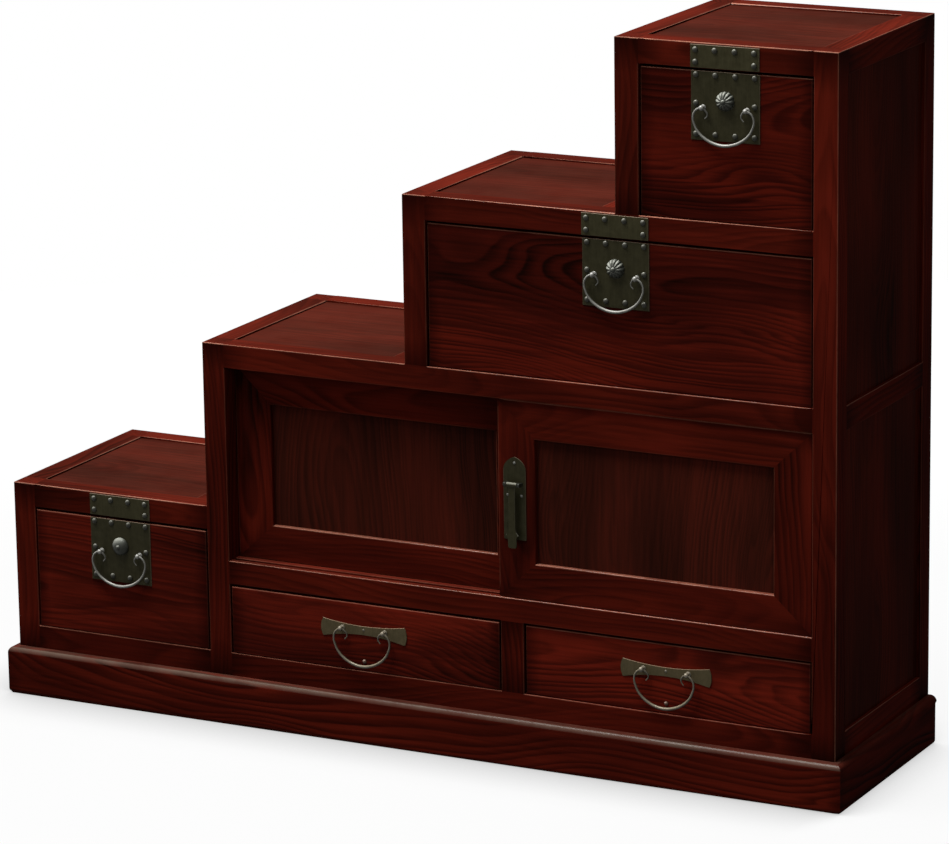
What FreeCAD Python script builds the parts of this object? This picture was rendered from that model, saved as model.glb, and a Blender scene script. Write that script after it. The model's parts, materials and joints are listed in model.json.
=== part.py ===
# Step chest: four steps of drawers and a sliding-door cabinet, framed and panelled, on a plinth.
# Frame: X to the right, Y to the back, Z up, origin under the middle of the plinth on the floor.
import FreeCAD, Part
import Sketcher
import math
import os
import re

STEP_COUNT = 4
V = FreeCAD.Vector

SIZES = {
    # case
    "step_width": 275.0,
    "step_rise": 204.0,
    "first_step_height": 270.0,
    "case_depth": 283.0,
    # plinth
    "plinth_height": 59.5,
    "plinth_overhang": 11.0,
    "plinth_thickness": 32.0,
    "plinth_edge_radius": 8.0,
    # posts, rails and their joints
    "post_width": 30.0,
    "post_depth": 28.0,
    "rail_height": 29.0,
    "tenon_length": 8.0,
    "tenon_thickness": 10.0,
    "tenon_shoulder": 5.0,
    "sill_depth": 46.0,
    "small_drawer_opening": 87.0,
    "divider_width": 30.0,
    # panels and boards
    "groove_depth": 6.0,
    "side_panel_recess": 4.5,
    "side_panel_thickness": 8.0,
    "step_panel_recess": 2.0,
    "step_panel_thickness": 8.0,
    "step_panel_tongue": 5.0,
    "step_panel_play": 0.4,
    "back_panel_recess": 6.0,
    "back_panel_thickness": 6.0,
    "floor_thickness": 10.0,
    "guide_height": 20.0,
    # drawers
    "drawer_side_gap": 2.0,
    "drawer_top_gap": 3.0,
    "drawer_running_gap": 0.4,
    "drawer_back_gap": 7.0,
    "drawer_setback": 2.0,
    "flush_setback": 0.2,
    "drawer_front_thickness": 20.0,
    "drawer_wall_thickness": 9.0,
    "drawer_bottom_thickness": 6.0,
    "drawer_wall_lap": 8.0,
    "drawer_wall_drop": 6.0,
    "drawer_edge_radius": 1.5,
    # sliding doors
    "door_overlap": 35.0,
    "door_thickness": 18.0,
    "door_setback": 3.0,
    "door_spacing": 2.5,
    "door_side_gap": 1.0,
    "door_running_gap": 0.5,
    "door_stile_width": 48.0,
    "door_top_rail_width": 45.5,
    "door_bottom_rail_width": 43.5,
    "door_panel_recess": 6.0,
    "door_panel_thickness": 6.0,
    "door_tongue_thickness": 6.0,
    "door_tongue_depth": 4.0,
    "door_head_tongue_depth": 8.0,
    "track_side_gap": 0.5,
    "track_end_gap": 0.5,
    # plates and dome nails
    "plate_width": 84.5,
    "plate_thickness": 1.2,
    "rail_plate_height": 26.5,
    "rail_plate_drop": 2.0,
    "lock_plate_height": 79.0,
    "nail_radius": 3.4,
    "nail_dome_height": 2.2,
    "nail_shank_radius": 0.9,
    "nail_shank_length": 9.0,
    "shank_clearance": 0.1,
    "nail_outer_offset": 36.0,
    "nail_inner_offset": 12.2,
    "rail_nail_upper_row": 6.0,
    "rail_nail_lower_row": 20.0,
    "lock_nail_upper_row": 4.5,
    "lock_nail_middle_row": 37.0,
    "lock_nail_lower_row": 72.0,
    # rosette over the lock plate
    "rosette_radius": 11.2,
    "rosette_height": 5.5,
    "rosette_rim": 1.0,
    "rosette_dome_radius": 12.5,
    "rosette_tip_radius": 2.2,
    "rosette_tip_height": 1.3,
    "rosette_drop": 33.0,
    # drop handles of the large drawers
    "bail_drop": 41.5,
    "bail_post_spacing": 54.0,
    "bail_width": 78.0,
    "bail_hang": 43.0,
    "bail_wire_radius": 1.8,
    "bail_shoulder_radius": 6.5,
    "bail_corner_radius": 27.0,
    "bail_end_length": 3.4,
    "bail_knob_radius": 2.9,
    "bail_standoff": 5.6,
    "eye_radius": 3.7,
    "eye_width": 4.6,
    "eye_clearance": 0.3,
    "eye_neck_height": 4.4,
    "eye_shank_radius": 1.8,
    "eye_shank_length": 14.0,
    # handles of the small drawers
    "handle_plate_width": 110.0,
    "handle_plate_top": 9.3,
    "handle_plate_bottom": 13.0,
    "handle_plate_top_hollow": 4.8,
    "handle_plate_bottom_hollow": 6.5,
    "handle_plate_end_swell": 3.0,
    "handle_post_spacing": 57.5,
    "handle_post_height": 52.0,
    "handle_bail_width": 79.0,
    "handle_bail_hang": 46.0,
    "rest_stud_height": 12.0,
    # pull strap on the front door
    "pull_plate_width": 29.0,
    "pull_plate_height": 100.0,
    "pull_plate_lift": 71.0,
    "pull_plate_shoulder": 86.0,
    "pull_arch_radius": 19.0,
    "pull_plate_inset": 22.0,
    "pull_eye_lift": 68.5,
    "pull_eye_width": 3.0,
    "pull_eye_radius": 2.8,
    "pull_eye_spacing": 18.0,
    "pull_pin_radius": 1.5,
    "pull_standoff": 7.0,
    "strap_width": 13.5,
    "strap_thickness": 2.0,
    "strap_length": 77.0,
    "strap_knuckle_radius": 3.0,
    "strap_ear_height": 16.0,
    "strap_ear_width": 16.5,
    "strap_ear_span": 5.0,
    "pull_nail_spacing": 18.0,
    "pull_nail_lift": 54.0,
    "pull_top_nail_lift": 93.0,
    "pull_nail_radius": 1.8,
    "pull_nail_dome_height": 1.2,
    "pull_nail_shank_radius": 0.6,
    "pull_nail_shank_length": 6.0,
    # how far a cutting solid runs past the face that it opens
    "overrun": 2.0,
}

PLACES = {
    "left": "-2 * step_width",
    "right": "2 * step_width",
    "front": "(plinth_overhang - case_depth) / 2",
    "back": "front + case_depth",
    "rail_back": "front + post_depth",
    "rear_rail_front": "back - post_depth",
    "sill_back": "front + sill_depth",
    "level_1": "first_step_height",
    "level_2": "level_1 + step_rise",
    "level_3": "level_2 + step_rise",
    "level_4": "level_3 + step_rise",
    "base_top": "plinth_height + rail_height",
    "sill_bottom": "base_top + small_drawer_opening",
    "sill_top": "sill_bottom + rail_height",
    "head_bottom": "level_2 - rail_height",
    "step_1": "left",
    "step_2": "left + step_width",
    "step_3": "left + 2 * step_width",
    "step_4": "left + 3 * step_width",
    "inner_1": "step_1 + post_width",
    "inner_2": "step_2 + post_width",
    "inner_3": "step_3 + post_width",
    "inner_4": "step_4 + post_width",
    "right_post": "right - post_width",
    "cabinet_middle": "(inner_2 + right_post) / 2",
    "divider_left": "cabinet_middle - divider_width / 2",
    "divider_right": "cabinet_middle + divider_width / 2",
    "panel_back": "side_panel_recess + side_panel_thickness",
    "door_front": "front + door_setback",
    "rear_door_front": "door_front + door_thickness + door_spacing",
    "door_width": "(right_post - inner_2 + door_overlap) / 2 - door_side_gap",
    "front_door_right": "right_post - door_side_gap",
    "front_door_left": "front_door_right - door_width",
    "rear_door_left": "inner_2 + door_side_gap",
    "door_bottom": "sill_top + door_running_gap",
    "door_top": "head_bottom - door_running_gap",
    "eye_bore_radius": "bail_wire_radius + eye_clearance",
    "handle_top_radius":
        "handle_plate_width ^ 2 / 8 / handle_plate_top_hollow + handle_plate_top_hollow / 2",
    "handle_bottom_radius":
        "handle_plate_width ^ 2 / 8 / handle_plate_bottom_hollow + handle_plate_bottom_hollow / 2",
    "handle_end_height": "handle_plate_top + handle_plate_bottom",
    "handle_end_radius":
        "handle_end_height ^ 2 / 8 / handle_plate_end_swell + handle_plate_end_swell / 2",
    "nail_curve": "(nail_radius ^ 2 + nail_dome_height ^ 2) / 2 / nail_dome_height",
    "pull_nail_curve": "(pull_nail_radius ^ 2 + pull_nail_dome_height ^ 2) / 2 / pull_nail_dome_height",
    "rosette_tip_curve": "(rosette_tip_radius ^ 2 + rosette_tip_height ^ 2) / 2 / rosette_tip_height",
    "pull_middle": "front_door_left + pull_plate_inset",
    "pull_plate_bottom": "door_bottom + pull_plate_lift",
    "pull_axis": "door_front - plate_thickness - pull_standoff",
    "pull_height": "pull_plate_bottom + pull_eye_lift",
    "pull_bore_radius": "pull_pin_radius + eye_clearance",
}

doc = FreeCAD.newDocument("step_chest")
sheet = doc.addObject("Spreadsheet::Sheet", "Sizes")
for row, (name, size) in enumerate(SIZES.items(), start=1):
    sheet.set(f"A{row}", name)
    sheet.set(f"B{row}", str(size))
    sheet.setAlias(f"B{row}", name)


def cells(text):
    """Point each size or place named in an expression to the object that holds it."""
    def holder(word):
        name = word.group(0)
        return f"Places.{name}" if name in PLACES else f"Sizes.{name}"
    return re.sub(r"[a-z]\w*", holder, text)


places = doc.addObject("App::VarSet", "Places")
for name, rule in PLACES.items():
    places.addProperty("App::PropertyFloat", name)
    places.setExpression(name, cells(rule))
doc.recompute()

nodes = {}


def value(text):
    """The number that an expression of sizes and places gives."""
    return float(sheet.evalExpression(cells(text)))


def spot(x, y, z):
    """A point from three expressions."""
    return V(value(x), value(y), value(z))


def bind(item, **rules):
    """Bind properties of an object to expressions of sizes and places."""
    for prop, rule in rules.items():
        item.setExpression(prop, cells(rule))


def put(item, x="0", y="0", z="0"):
    """Bind where an object stands."""
    for axis, rule in (("x", x), ("y", y), ("z", z)):
        item.setExpression(f"Placement.Base.{axis}", cells(rule))


def board(name, x, y, z):
    """A plain board between two limits along each axis."""
    blank = doc.addObject("Part::Box", name)
    spans = {size: f"({high}) - ({low})"
             for size, (low, high) in zip(("Length", "Width", "Height"), (x, y, z))}
    bind(blank, **spans)
    put(blank, x[0], y[0], z[0])
    return blank


def together(name, items):
    """Several solids kept side by side in one object."""
    group = doc.addObject("Part::Compound", name)
    group.Links = items
    return group


def joined(name, first, second):
    """Two overlapping shapes made one solid."""
    solid = doc.addObject("Part::Fuse", name)
    solid.Base = first
    solid.Tool = second
    solid.Refine = True
    return solid


def cut(name, base, tools):
    """A piece with mortises, grooves or holes cut to the shapes of its mates."""
    piece = doc.addObject("Part::Cut", name)
    piece.Base = base
    piece.Tool = tools[0] if len(tools) == 1 else together(f"{name}_mates", tools)
    return piece


def fixed(name, shape, x="0", y="0", z="0"):
    """A shape made around its own origin and set at a place in the chest."""
    item = doc.addObject("Part::Feature", name)
    item.Shape = shape
    item.Placement = FreeCAD.Placement(spot(x, y, z), FreeCAD.Rotation())
    return item


def keep(name, item):
    """Label an object as one of the chest's sub-parts."""
    item.Label = name
    nodes[name] = item
    return item


def outline(body, plane, corners):
    """A closed sketch through corners (x rule, y rule, radius rule of the side that follows).

    A radius rule with a leading minus bows the side inwards, for corners listed anticlockwise."""
    support = [item for item in body.Origin.OriginFeatures if item.Role == plane][0]
    sketch = body.newObject("Sketcher::SketchObject", f"{body.Name}_outline")
    sketch.AttachmentSupport = (support, [""])
    sketch.MapMode = "FlatFace"
    points = [V(value(corner[0]), value(corner[1]), 0) for corner in corners]
    ends = []
    for index, corner in enumerate(corners):
        start = points[index]
        finish = points[(index + 1) % len(points)]
        if len(corner) == 2:
            sketch.addGeometry(Part.LineSegment(start, finish), False)
            ends.append((1, 2))
            continue
        inward = corner[2].startswith("-")
        radius = value(corner[2].lstrip("-"))
        ends.append((2, 1) if inward else (1, 2))
        first, last = (finish, start) if inward else (start, finish)
        sketch.addGeometry(bow(first, last, radius), False)
        rule = sketch.addConstraint(Sketcher.Constraint("Radius", index, radius))
        sketch.setExpression(f"Constraints[{rule}]", cells(corner[2].lstrip("-")))
    for index, corner in enumerate(corners):
        after = (index + 1) % len(corners)
        link = Sketcher.Constraint("Coincident", index, ends[index][1], after, ends[after][0])
        sketch.addConstraint(link)
        for kind, rule in (("DistanceX", corner[0]), ("DistanceY", corner[1])):
            number = sketch.addConstraint(Sketcher.Constraint(kind, index, ends[index][0], value(rule)))
            sketch.setExpression(f"Constraints[{number}]", cells(rule))
    return sketch


def bow(first, last, radius):
    """The short anticlockwise arc of a radius from one point to another."""
    half = (last - first) * 0.5
    rise = math.sqrt(radius ** 2 - half.Length ** 2)
    inner = V(-half.y, half.x, 0).normalize() * rise
    centre = first + half + inner
    angles = [math.atan2(point.y - centre.y, point.x - centre.x) for point in (first, last)]
    if angles[1] < angles[0]:
        angles[1] += 2 * math.pi
    return Part.ArcOfCircle(Part.Circle(centre, V(0, 0, 1), radius), *angles)


def plate(name, plane, corners, thickness, backwards=False):
    """A body padded from an outline sketch."""
    body = doc.addObject("PartDesign::Body", name)
    pad = body.newObject("PartDesign::Pad", f"{name}_pad")
    pad.Profile = outline(body, plane, corners)
    pad.Reversed = backwards
    bind(pad, Length=thickness)
    body.Tip = pad
    return body


def rounded(body, radius, wanted):
    """Round the edges of a body whose middle point passes a test."""
    doc.recompute()
    feature = body.Tip
    names = []
    for number, edge in enumerate(feature.Shape.Edges, start=1):
        middle = edge.valueAt((edge.FirstParameter + edge.LastParameter) / 2)
        if wanted(middle):
            names.append(f"Edge{number}")
    fillet = body.newObject("PartDesign::Fillet", f"{body.Name}_fillet")
    fillet.Base = (feature, names)
    bind(fillet, Radius=radius)
    body.Tip = fillet
    return body


def turned(name, corners):
    """A body turned about the Y axis from a half outline: sketch X is the radius, sketch Y runs forwards."""
    body = doc.addObject("PartDesign::Body", name)
    sketch = outline(body, "XY_Plane", corners)
    spin = body.newObject("PartDesign::Revolution", f"{name}_spin")
    spin.Profile = sketch
    spin.ReferenceAxis = (sketch, ["V_Axis"])
    spin.Angle = 360
    body.Tip = spin
    return body


def near(number, rule):
    """Whether a number lies on the place that an expression gives."""
    return abs(number - value(rule)) < value("overrun") / 100


def rail(name, x, y, z, along, row=None):
    """A rail with a tenon at each end, running along X or Y; a row sets where its tenons lie."""
    body = board(f"{name}_body", x, y, z)
    across = row or (y if along == "x" else x)
    middle = f"(({across[0]}) + ({across[1]})) / 2"
    slim = (f"{middle} - tenon_thickness / 2", f"{middle} + tenon_thickness / 2")
    low = (f"({z[0]}) + tenon_shoulder", f"({z[1]}) - tenon_shoulder")
    run = x if along == "x" else y
    reach = (f"({run[0]}) - tenon_length", f"({run[1]}) + tenon_length")
    tenon = board(f"{name}_tenon", reach if along == "x" else slim, slim if along == "x" else reach, low)
    return joined(name, body, tenon)


FRONT_ROW = ("front", "rail_back")
REAR_ROW = ("rear_rail_front", "back")
MIDDLE_ROW = ("rail_back", "rear_rail_front")


def below(level, height="rail_height"):
    """The height span of a rail whose top is at a level."""
    return (f"{level} - {height}", level)


def above(level, height="rail_height"):
    """The height span of a rail that stands on a level."""
    return (level, f"{level} + {height}")


def grooved(low, high, depth="groove_depth"):
    """A span lengthened at both ends to sit in grooves."""
    return (f"{low} - {depth}", f"{high} + {depth}")


def make_feet():
    """Tenons under the posts that stand on a rail, and through the divider between the small drawers."""
    half = "tenon_thickness / 2"
    feet = {}
    plans = (("upper", "step_3 + post_width / 2", "level_2", "level_2"),
             ("top", "step_4 + post_width / 2", "level_3", "level_3"),
             ("divider", "cabinet_middle", "base_top", "sill_bottom"))
    for name, middle, low, high in plans:
        for face, row in (("front", FRONT_ROW), ("rear", REAR_ROW)):
            if name == "divider" and face == "rear":
                continue
            depth = f"(({row[0]}) + ({row[1]})) / 2"
            feet[name, face] = board(f"{name}_{face}_foot", (f"{middle} - {half}", f"{middle} + {half}"),
                                     (f"{depth} - {half}", f"{depth} + {half}"),
                                     (f"{low} - tenon_length", f"{high} + tenon_length"))
    return feet


def step_panel(level, low, high):
    """The panel of a step top: a field with a little play in its frame, and a thinner tongue round it."""
    under = f"{level} - step_panel_recess - step_panel_thickness"
    tongue = board(f"{level}_tongue", grooved(low, high), grooved("rail_back", "rear_rail_front"),
                   (under, f"{under} + step_panel_tongue"))
    field = board(f"{level}_field", (f"{low} + step_panel_play", f"{high} - step_panel_play"),
                  ("rail_back + step_panel_play", "rear_rail_front - step_panel_play"),
                  (under, f"{level} - step_panel_recess"))
    return joined(f"{level}_panel", tongue, field)


def make_panels():
    """Thin boards held in the grooves of the frames."""
    outer = ("side_panel_recess", "panel_back")
    deep = grooved("rail_back", "rear_rail_front")
    panels = {"left": board("left_panel", tuple(f"left + {edge}" for edge in outer), deep,
                            grooved("base_top", "level_1 - rail_height"))}
    risers = (("partition", "step_2", "base_top", "level_1"),
              ("riser_2", "step_2", "level_1 + rail_height", "head_bottom"),
              ("riser_3", "step_3", "level_2 + rail_height", "level_3 - rail_height"),
              ("riser_4", "step_4", "level_3 + rail_height", "level_4 - rail_height"))
    for name, step, low, high in risers:
        across = tuple(f"{step} + {edge}" for edge in outer)
        panels[name] = board(f"{name}_panel", across, deep, grooved(low, high))
    flank = ("right - panel_back", "right - side_panel_recess")
    panels["right_lower"] = board("right_lower_panel", flank, deep, grooved("base_top", "head_bottom"))
    panels["right_upper"] = board("right_upper_panel", flank, deep,
                                  grooved("level_2", "level_4 - rail_height"))
    tops = (("level_1", "inner_1", "step_2 - post_width"), ("level_2", "inner_2", "step_3 - post_width"),
            ("level_3", "inner_3", "step_4 - post_width"), ("level_4", "inner_4", "right_post"))
    for level, low, high in tops:
        panels[level] = step_panel(level, low, high)
    rear = ("back - back_panel_recess - back_panel_thickness", "back - back_panel_recess")
    backs = (("low", "inner_1", "step_2", "base_top", "level_1 - rail_height"),
             ("drawer", "inner_2", "right_post", "base_top", "sill_bottom"),
             ("cabinet", "inner_2", "right_post", "sill_top", "head_bottom"),
             ("upper", "inner_3", "right_post", "level_2", "level_3 - rail_height"),
             ("top", "inner_4", "right_post", "level_3", "level_4 - rail_height"))
    for name, low, high, bottom, top in backs:
        panels[f"{name}_back"] = board(f"{name}_back", grooved(low, high), rear, grooved(bottom, top))
    return panels


def make_floors():
    """Dust boards that the drawers run on and the cabinet's floor."""
    deep = grooved("rail_back", "rear_rail_front")
    behind_sill = ("sill_back", "rear_rail_front + groove_depth")
    inner_right = "right - panel_back"
    spans = (("low", ("inner_1 - groove_depth", "step_2 + side_panel_recess"), deep, "base_top"),
             ("main", grooved("inner_2", "right_post"), deep, "base_top"),
             ("cabinet", ("step_2 + panel_back", inner_right), behind_sill, "sill_top"),
             ("upper", grooved("step_3", "right_post"), deep, "level_2"),
             ("top", ("step_4 - groove_depth", inner_right), deep, "level_3"))
    return {name: board(f"{name}_floor", across, depth, below(level, "floor_thickness"))
            for name, across, depth, level in spans}


def make_side_rails(panels, floors, track_strip):
    """Rails that run from front to back in the sides, the risers and under the steps."""
    spans = (("left_base", "step_1", below("base_top")), ("left_top", "step_1", below("level_1")),
             ("partition_base", "step_2", below("base_top")), ("riser_2_base", "step_2", above("level_1")),
             ("riser_2_top", "step_2", below("level_2")), ("riser_3_base", "step_3", above("level_2")),
             ("riser_3_top", "step_3", below("level_3")), ("riser_4_base", "step_4", above("level_3")),
             ("riser_4_top", "step_4", below("level_4")), ("right_base", "right_post", below("base_top")),
             ("right_middle", "right_post", below("level_2")), ("right_top", "right_post", below("level_4")),
             ("cross_1", "step_2 - post_width", below("level_1")),
             ("cross_2", "step_3 - post_width", below("level_2")),
             ("cross_3", "step_4 - post_width", below("level_3")))
    mates = {"left_base": ("left", "low_floor"), "left_top": ("left", "level_1"),
             "partition_base": ("partition", "low_floor", "main_floor"),
             "riser_2_base": ("partition", "riser_2"), "riser_2_top": ("riser_2", "level_2"),
             "riser_3_base": ("riser_3",), "riser_3_top": ("riser_3", "level_3"),
             "riser_4_base": ("riser_4",), "riser_4_top": ("riser_4", "level_4"),
             "right_base": ("right_lower", "main_floor"),
             "right_middle": ("right_lower", "right_upper", "upper_floor"),
             "right_top": ("right_upper", "level_4"), "cross_1": ("level_1",),
             "cross_2": ("level_2", "upper_floor", "track_strip"), "cross_3": ("level_3", "top_floor")}
    boards = dict(panels)
    boards.update({f"{name}_floor": floor for name, floor in floors.items()})
    boards["track_strip"] = track_strip
    rails = {}
    for name, low, height in spans:
        blank = rail(f"{name}_blank", (low, f"{low} + post_width"), MIDDLE_ROW, height, "y")
        rails[name] = cut(f"{name}_rail", blank, [boards[mate] for mate in mates[name]])
    return rails


def door_path(name, face, low, high):
    """The room that a door's tongue needs in its track."""
    middle = f"{face} + door_thickness / 2"
    half = "(door_tongue_thickness / 2 + track_side_gap)"
    return board(name, ("inner_2", "right_post"), (f"{middle} - {half}", f"{middle} + {half}"), (low, high))


def make_front_rails(panels, floors, side_rails, feet):
    """The rails of the front, with the door tracks and the seats of the boards behind them."""
    sill_groove = ("sill_top - door_tongue_depth - track_end_gap", "sill_top + overrun")
    head_groove = ("head_bottom - overrun", "head_bottom + door_head_tongue_depth + track_end_gap")
    sill_paths = [door_path("front_sill_path", "door_front", *sill_groove),
                  door_path("rear_sill_path", "rear_door_front", *sill_groove)]
    head_path = door_path("front_head_path", "door_front", *head_groove)
    plans = {
        "base_left": (("inner_1", "step_2"), FRONT_ROW, below("base_top"), [floors["low"]]),
        "base_main": (("inner_2", "right_post"), FRONT_ROW, below("base_top"),
                      [floors["main"], feet["divider", "front"]]),
        "low_step": (("inner_1", "step_2"), FRONT_ROW, below("level_1"),
                     [panels["level_1"], side_rails["cross_1"]]),
        "sill": (("inner_2", "right_post"), ("front", "sill_back"), below("sill_top"),
                 sill_paths + [feet["divider", "front"]]),
        "head": (("inner_2", "right_post"), FRONT_ROW, below("level_2"),
                 [panels["level_2"], floors["upper"], head_path, side_rails["cross_2"],
                  feet["upper", "front"]]),
        "third_step": (("inner_3", "right_post"), FRONT_ROW, below("level_3"),
                       [panels["level_3"], floors["top"], side_rails["cross_3"], feet["top", "front"]]),
        "top_step": (("inner_4", "right_post"), FRONT_ROW, below("level_4"), [panels["level_4"]])}
    rails = {}
    for name, (x, y, z, mates) in plans.items():
        blank = rail(f"{name}_front_blank", x, y, z, "x", FRONT_ROW)
        rails[name] = cut(f"{name}_front_rail", blank, mates)
    return rails


def make_rear_rails(panels, floors, side_rails, feet):
    """The rails of the back."""
    plans = {
        "base_left": ("inner_1", "step_2", "base_top", [floors["low"], panels["low_back"]]),
        "base_main": ("inner_2", "right_post", "base_top", [floors["main"], panels["drawer_back"]]),
        "low_step": ("inner_1", "step_2", "level_1",
                     [panels["level_1"], panels["low_back"], side_rails["cross_1"]]),
        "cabinet": ("inner_2", "right_post", "sill_top",
                    [floors["cabinet"], panels["drawer_back"], panels["cabinet_back"]]),
        "head": ("inner_2", "right_post", "level_2",
                 [panels["level_2"], floors["upper"], panels["cabinet_back"], panels["upper_back"],
                  side_rails["cross_2"], feet["upper", "rear"]]),
        "third_step": ("inner_3", "right_post", "level_3",
                       [panels["level_3"], floors["top"], panels["upper_back"], panels["top_back"],
                        side_rails["cross_3"], feet["top", "rear"]]),
        "top_step": ("inner_4", "right_post", "level_4", [panels["level_4"], panels["top_back"]])}
    rails = {}
    for name, (low, high, level, mates) in plans.items():
        blank = rail(f"{name}_rear_blank", (low, high), REAR_ROW, below(level), "x")
        rails[name] = cut(f"{name}_rear_rail", blank, mates)
    return rails


def post(name, low, span, row, mates, foot):
    """A post with mortises for its rails, and a tenon under its foot where it stands on a rail."""
    blank = board(f"{name}_blank", (low, f"{low} + post_width"), row, span)
    if foot:
        blank = joined(f"{name}_footed", blank, foot)
    return cut(name, blank, mates)


def make_posts(row, face, rails, side_rails, panels, floors, feet):
    """The five posts of the front or of the back, each cut to the pieces that meet it."""
    plans = {
        "low": ("step_1", ("plinth_height", "level_1"),
                ["base_left", "low_step"], ["left_base", "left_top"],
                ["left", "level_1", "low_back"], ["low"]),
        "cabinet": ("step_2", ("plinth_height", "level_2"),
                    ["base_left", "low_step", "base_main", "head", "sill", "cabinet"],
                    ["partition_base", "riser_2_base", "riser_2_top"],
                    ["partition", "riser_2", "level_2", "low_back", "drawer_back", "cabinet_back"],
                    ["low", "main", "cabinet"]),
        "upper": ("step_3", ("level_2", "level_3"),
                  ["third_step"], ["riser_3_base", "riser_3_top"], ["riser_3", "level_3", "upper_back"], []),
        "top": ("step_4", ("level_3", "level_4"),
                ["top_step"], ["riser_4_base", "riser_4_top"], ["riser_4", "level_4", "top_back"], []),
        "right": ("right_post", ("plinth_height", "level_4"),
                  ["base_main", "head", "third_step", "top_step", "sill", "cabinet"],
                  ["right_base", "right_middle", "right_top"],
                  ["right_lower", "right_upper", "level_4", "drawer_back", "cabinet_back", "upper_back",
                   "top_back"], ["main", "cabinet", "upper", "top"])}
    posts = {}
    for name, (low, span, rail_names, side_names, panel_names, floor_names) in plans.items():
        mates = [rails[mate] for mate in rail_names if mate in rails]
        mates += [side_rails[mate] for mate in side_names]
        mates += [panels[mate] for mate in panel_names if face == "rear" or not mate.endswith("_back")]
        mates += [floors[mate] for mate in floor_names if face == "rear" or mate != "cabinet"]
        posts[name] = post(f"{name}_{face}_post", low, span, row, mates, feet.get((name, face)))
    return posts


def make_plinth():
    """Four boards round the base: mitred front corners, rounded top edges, a plain board behind."""
    outer_left, outer_right = "left - plinth_overhang", "right + plinth_overhang"
    outer_front = "front - plinth_overhang"
    inner_left = f"{outer_left} + plinth_thickness"
    inner_right = f"{outer_right} - plinth_thickness"
    inner_front = f"{outer_front} + plinth_thickness"
    front = plate("plinth_front", "XY_Plane", [(outer_left, outer_front), (outer_right, outer_front),
                                               (inner_right, inner_front), (inner_left, inner_front)],
                  "plinth_height")
    rounded(front, "plinth_edge_radius",
            lambda middle: near(middle.y, outer_front) and near(middle.z, "plinth_height"))
    keep("plinth_front", front)
    sides = []
    for name, outer, inner in (("left", outer_left, inner_left), ("right", outer_right, inner_right)):
        corners = [(outer, outer_front), (inner, inner_front), (inner, "back"), (outer, "back")]
        if name == "right":
            corners.reverse()
        side = plate(f"plinth_{name}", "XY_Plane", corners, "plinth_height")
        rounded(side, "plinth_edge_radius",
                lambda middle, edge=outer: near(middle.x, edge) and near(middle.z, "plinth_height"))
        sides.append(side)
    keep("plinth_sides", together("plinth_side_pair", sides))
    keep("plinth_back", board("plinth_back", (inner_left, inner_right), ("back - plinth_thickness", "back"),
                              ("0", "plinth_height")))


def make_guides():
    """Strips beside the drawers that keep them straight, and ledgers under the boards' free ends."""
    beside = {level: above(level, "guide_height") for level in ("base_top", "level_2", "level_3")}
    flank = ("right_post", "right - panel_back")
    under_cabinet = ("sill_bottom", "sill_top - floor_thickness")
    under_top = ("level_3 - rail_height", "level_3 - floor_thickness")
    spans = (("low_left", ("left + panel_back", "inner_1"), beside["base_top"]),
             ("low_right", ("step_2", "step_2 + side_panel_recess"), beside["base_top"]),
             ("small_left", ("step_2 + panel_back", "inner_2"), beside["base_top"]),
             ("small_middle", ("divider_left", "divider_right"), beside["base_top"]),
             ("small_right", flank, beside["base_top"]),
             ("upper_right", flank, beside["level_2"]),
             ("top_right", flank, beside["level_3"]),
             ("cabinet_left_ledger", ("step_2 + panel_back", "inner_2"), under_cabinet),
             ("cabinet_right_ledger", flank, under_cabinet),
             ("top_ledger", flank, under_top))
    return [board(f"{name}_strip", across, MIDDLE_ROW, height) for name, across, height in spans]


def make_case():
    """The frame and panel case that stands on the plinth."""
    feet = make_feet()
    panels = make_panels()
    floors = make_floors()
    strip = board("head_strip", ("inner_2", "right_post"), ("rail_back", "sill_back"),
                  ("head_bottom", "level_2 - floor_thickness"))
    path = door_path("rear_head_path", "rear_door_front", "head_bottom - overrun",
                     "head_bottom + door_head_tongue_depth + track_end_gap")
    keep("head_track", cut("head_track_strip", strip, [path]))
    side_rails = make_side_rails(panels, floors, strip)
    front_rails = make_front_rails(panels, floors, side_rails, feet)
    rear_rails = make_rear_rails(panels, floors, side_rails, feet)
    front_posts = make_posts(FRONT_ROW, "front", front_rails, side_rails, panels, floors, feet)
    rear_posts = make_posts(REAR_ROW, "rear", rear_rails, side_rails, panels, floors, feet)
    for name, item in front_posts.items():
        keep(f"{name}_front_post", item)
    keep("rear_posts", together("rear_post_set", list(rear_posts.values())))
    divider = board("divider_blank", ("divider_left", "divider_right"), FRONT_ROW,
                    ("base_top", "sill_bottom"))
    keep("small_drawer_divider", joined("divider_post", divider, feet["divider", "front"]))
    keep("base_rails", together("base_rail_pair", [front_rails["base_left"], front_rails["base_main"]]))
    for label, name in (("low_step_rail", "low_step"), ("door_sill", "sill"), ("door_head", "head"),
                        ("third_step_rail", "third_step"), ("top_step_rail", "top_step")):
        keep(label, front_rails[name])
    keep("rear_rails", together("rear_rail_set", list(rear_rails.values())))
    keep("side_rails", together("side_rail_set", list(side_rails.values())))
    groups = {"step_tops": [f"level_{number}" for number in range(1, STEP_COUNT + 1)],
              "side_panels": ["left", "right_lower", "right_upper"],
              "riser_panels": ["partition", "riser_2", "riser_3", "riser_4"],
              "back_panels": [name for name in panels if name.endswith("_back")]}
    for label, names in groups.items():
        keep(label, together(f"{label}_set", [panels[name] for name in names]))
    keep("dust_boards", together("dust_board_set", list(floors.values())))
    keep("drawer_guides", together("drawer_guide_set", make_guides()))
    return front_rails


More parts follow.
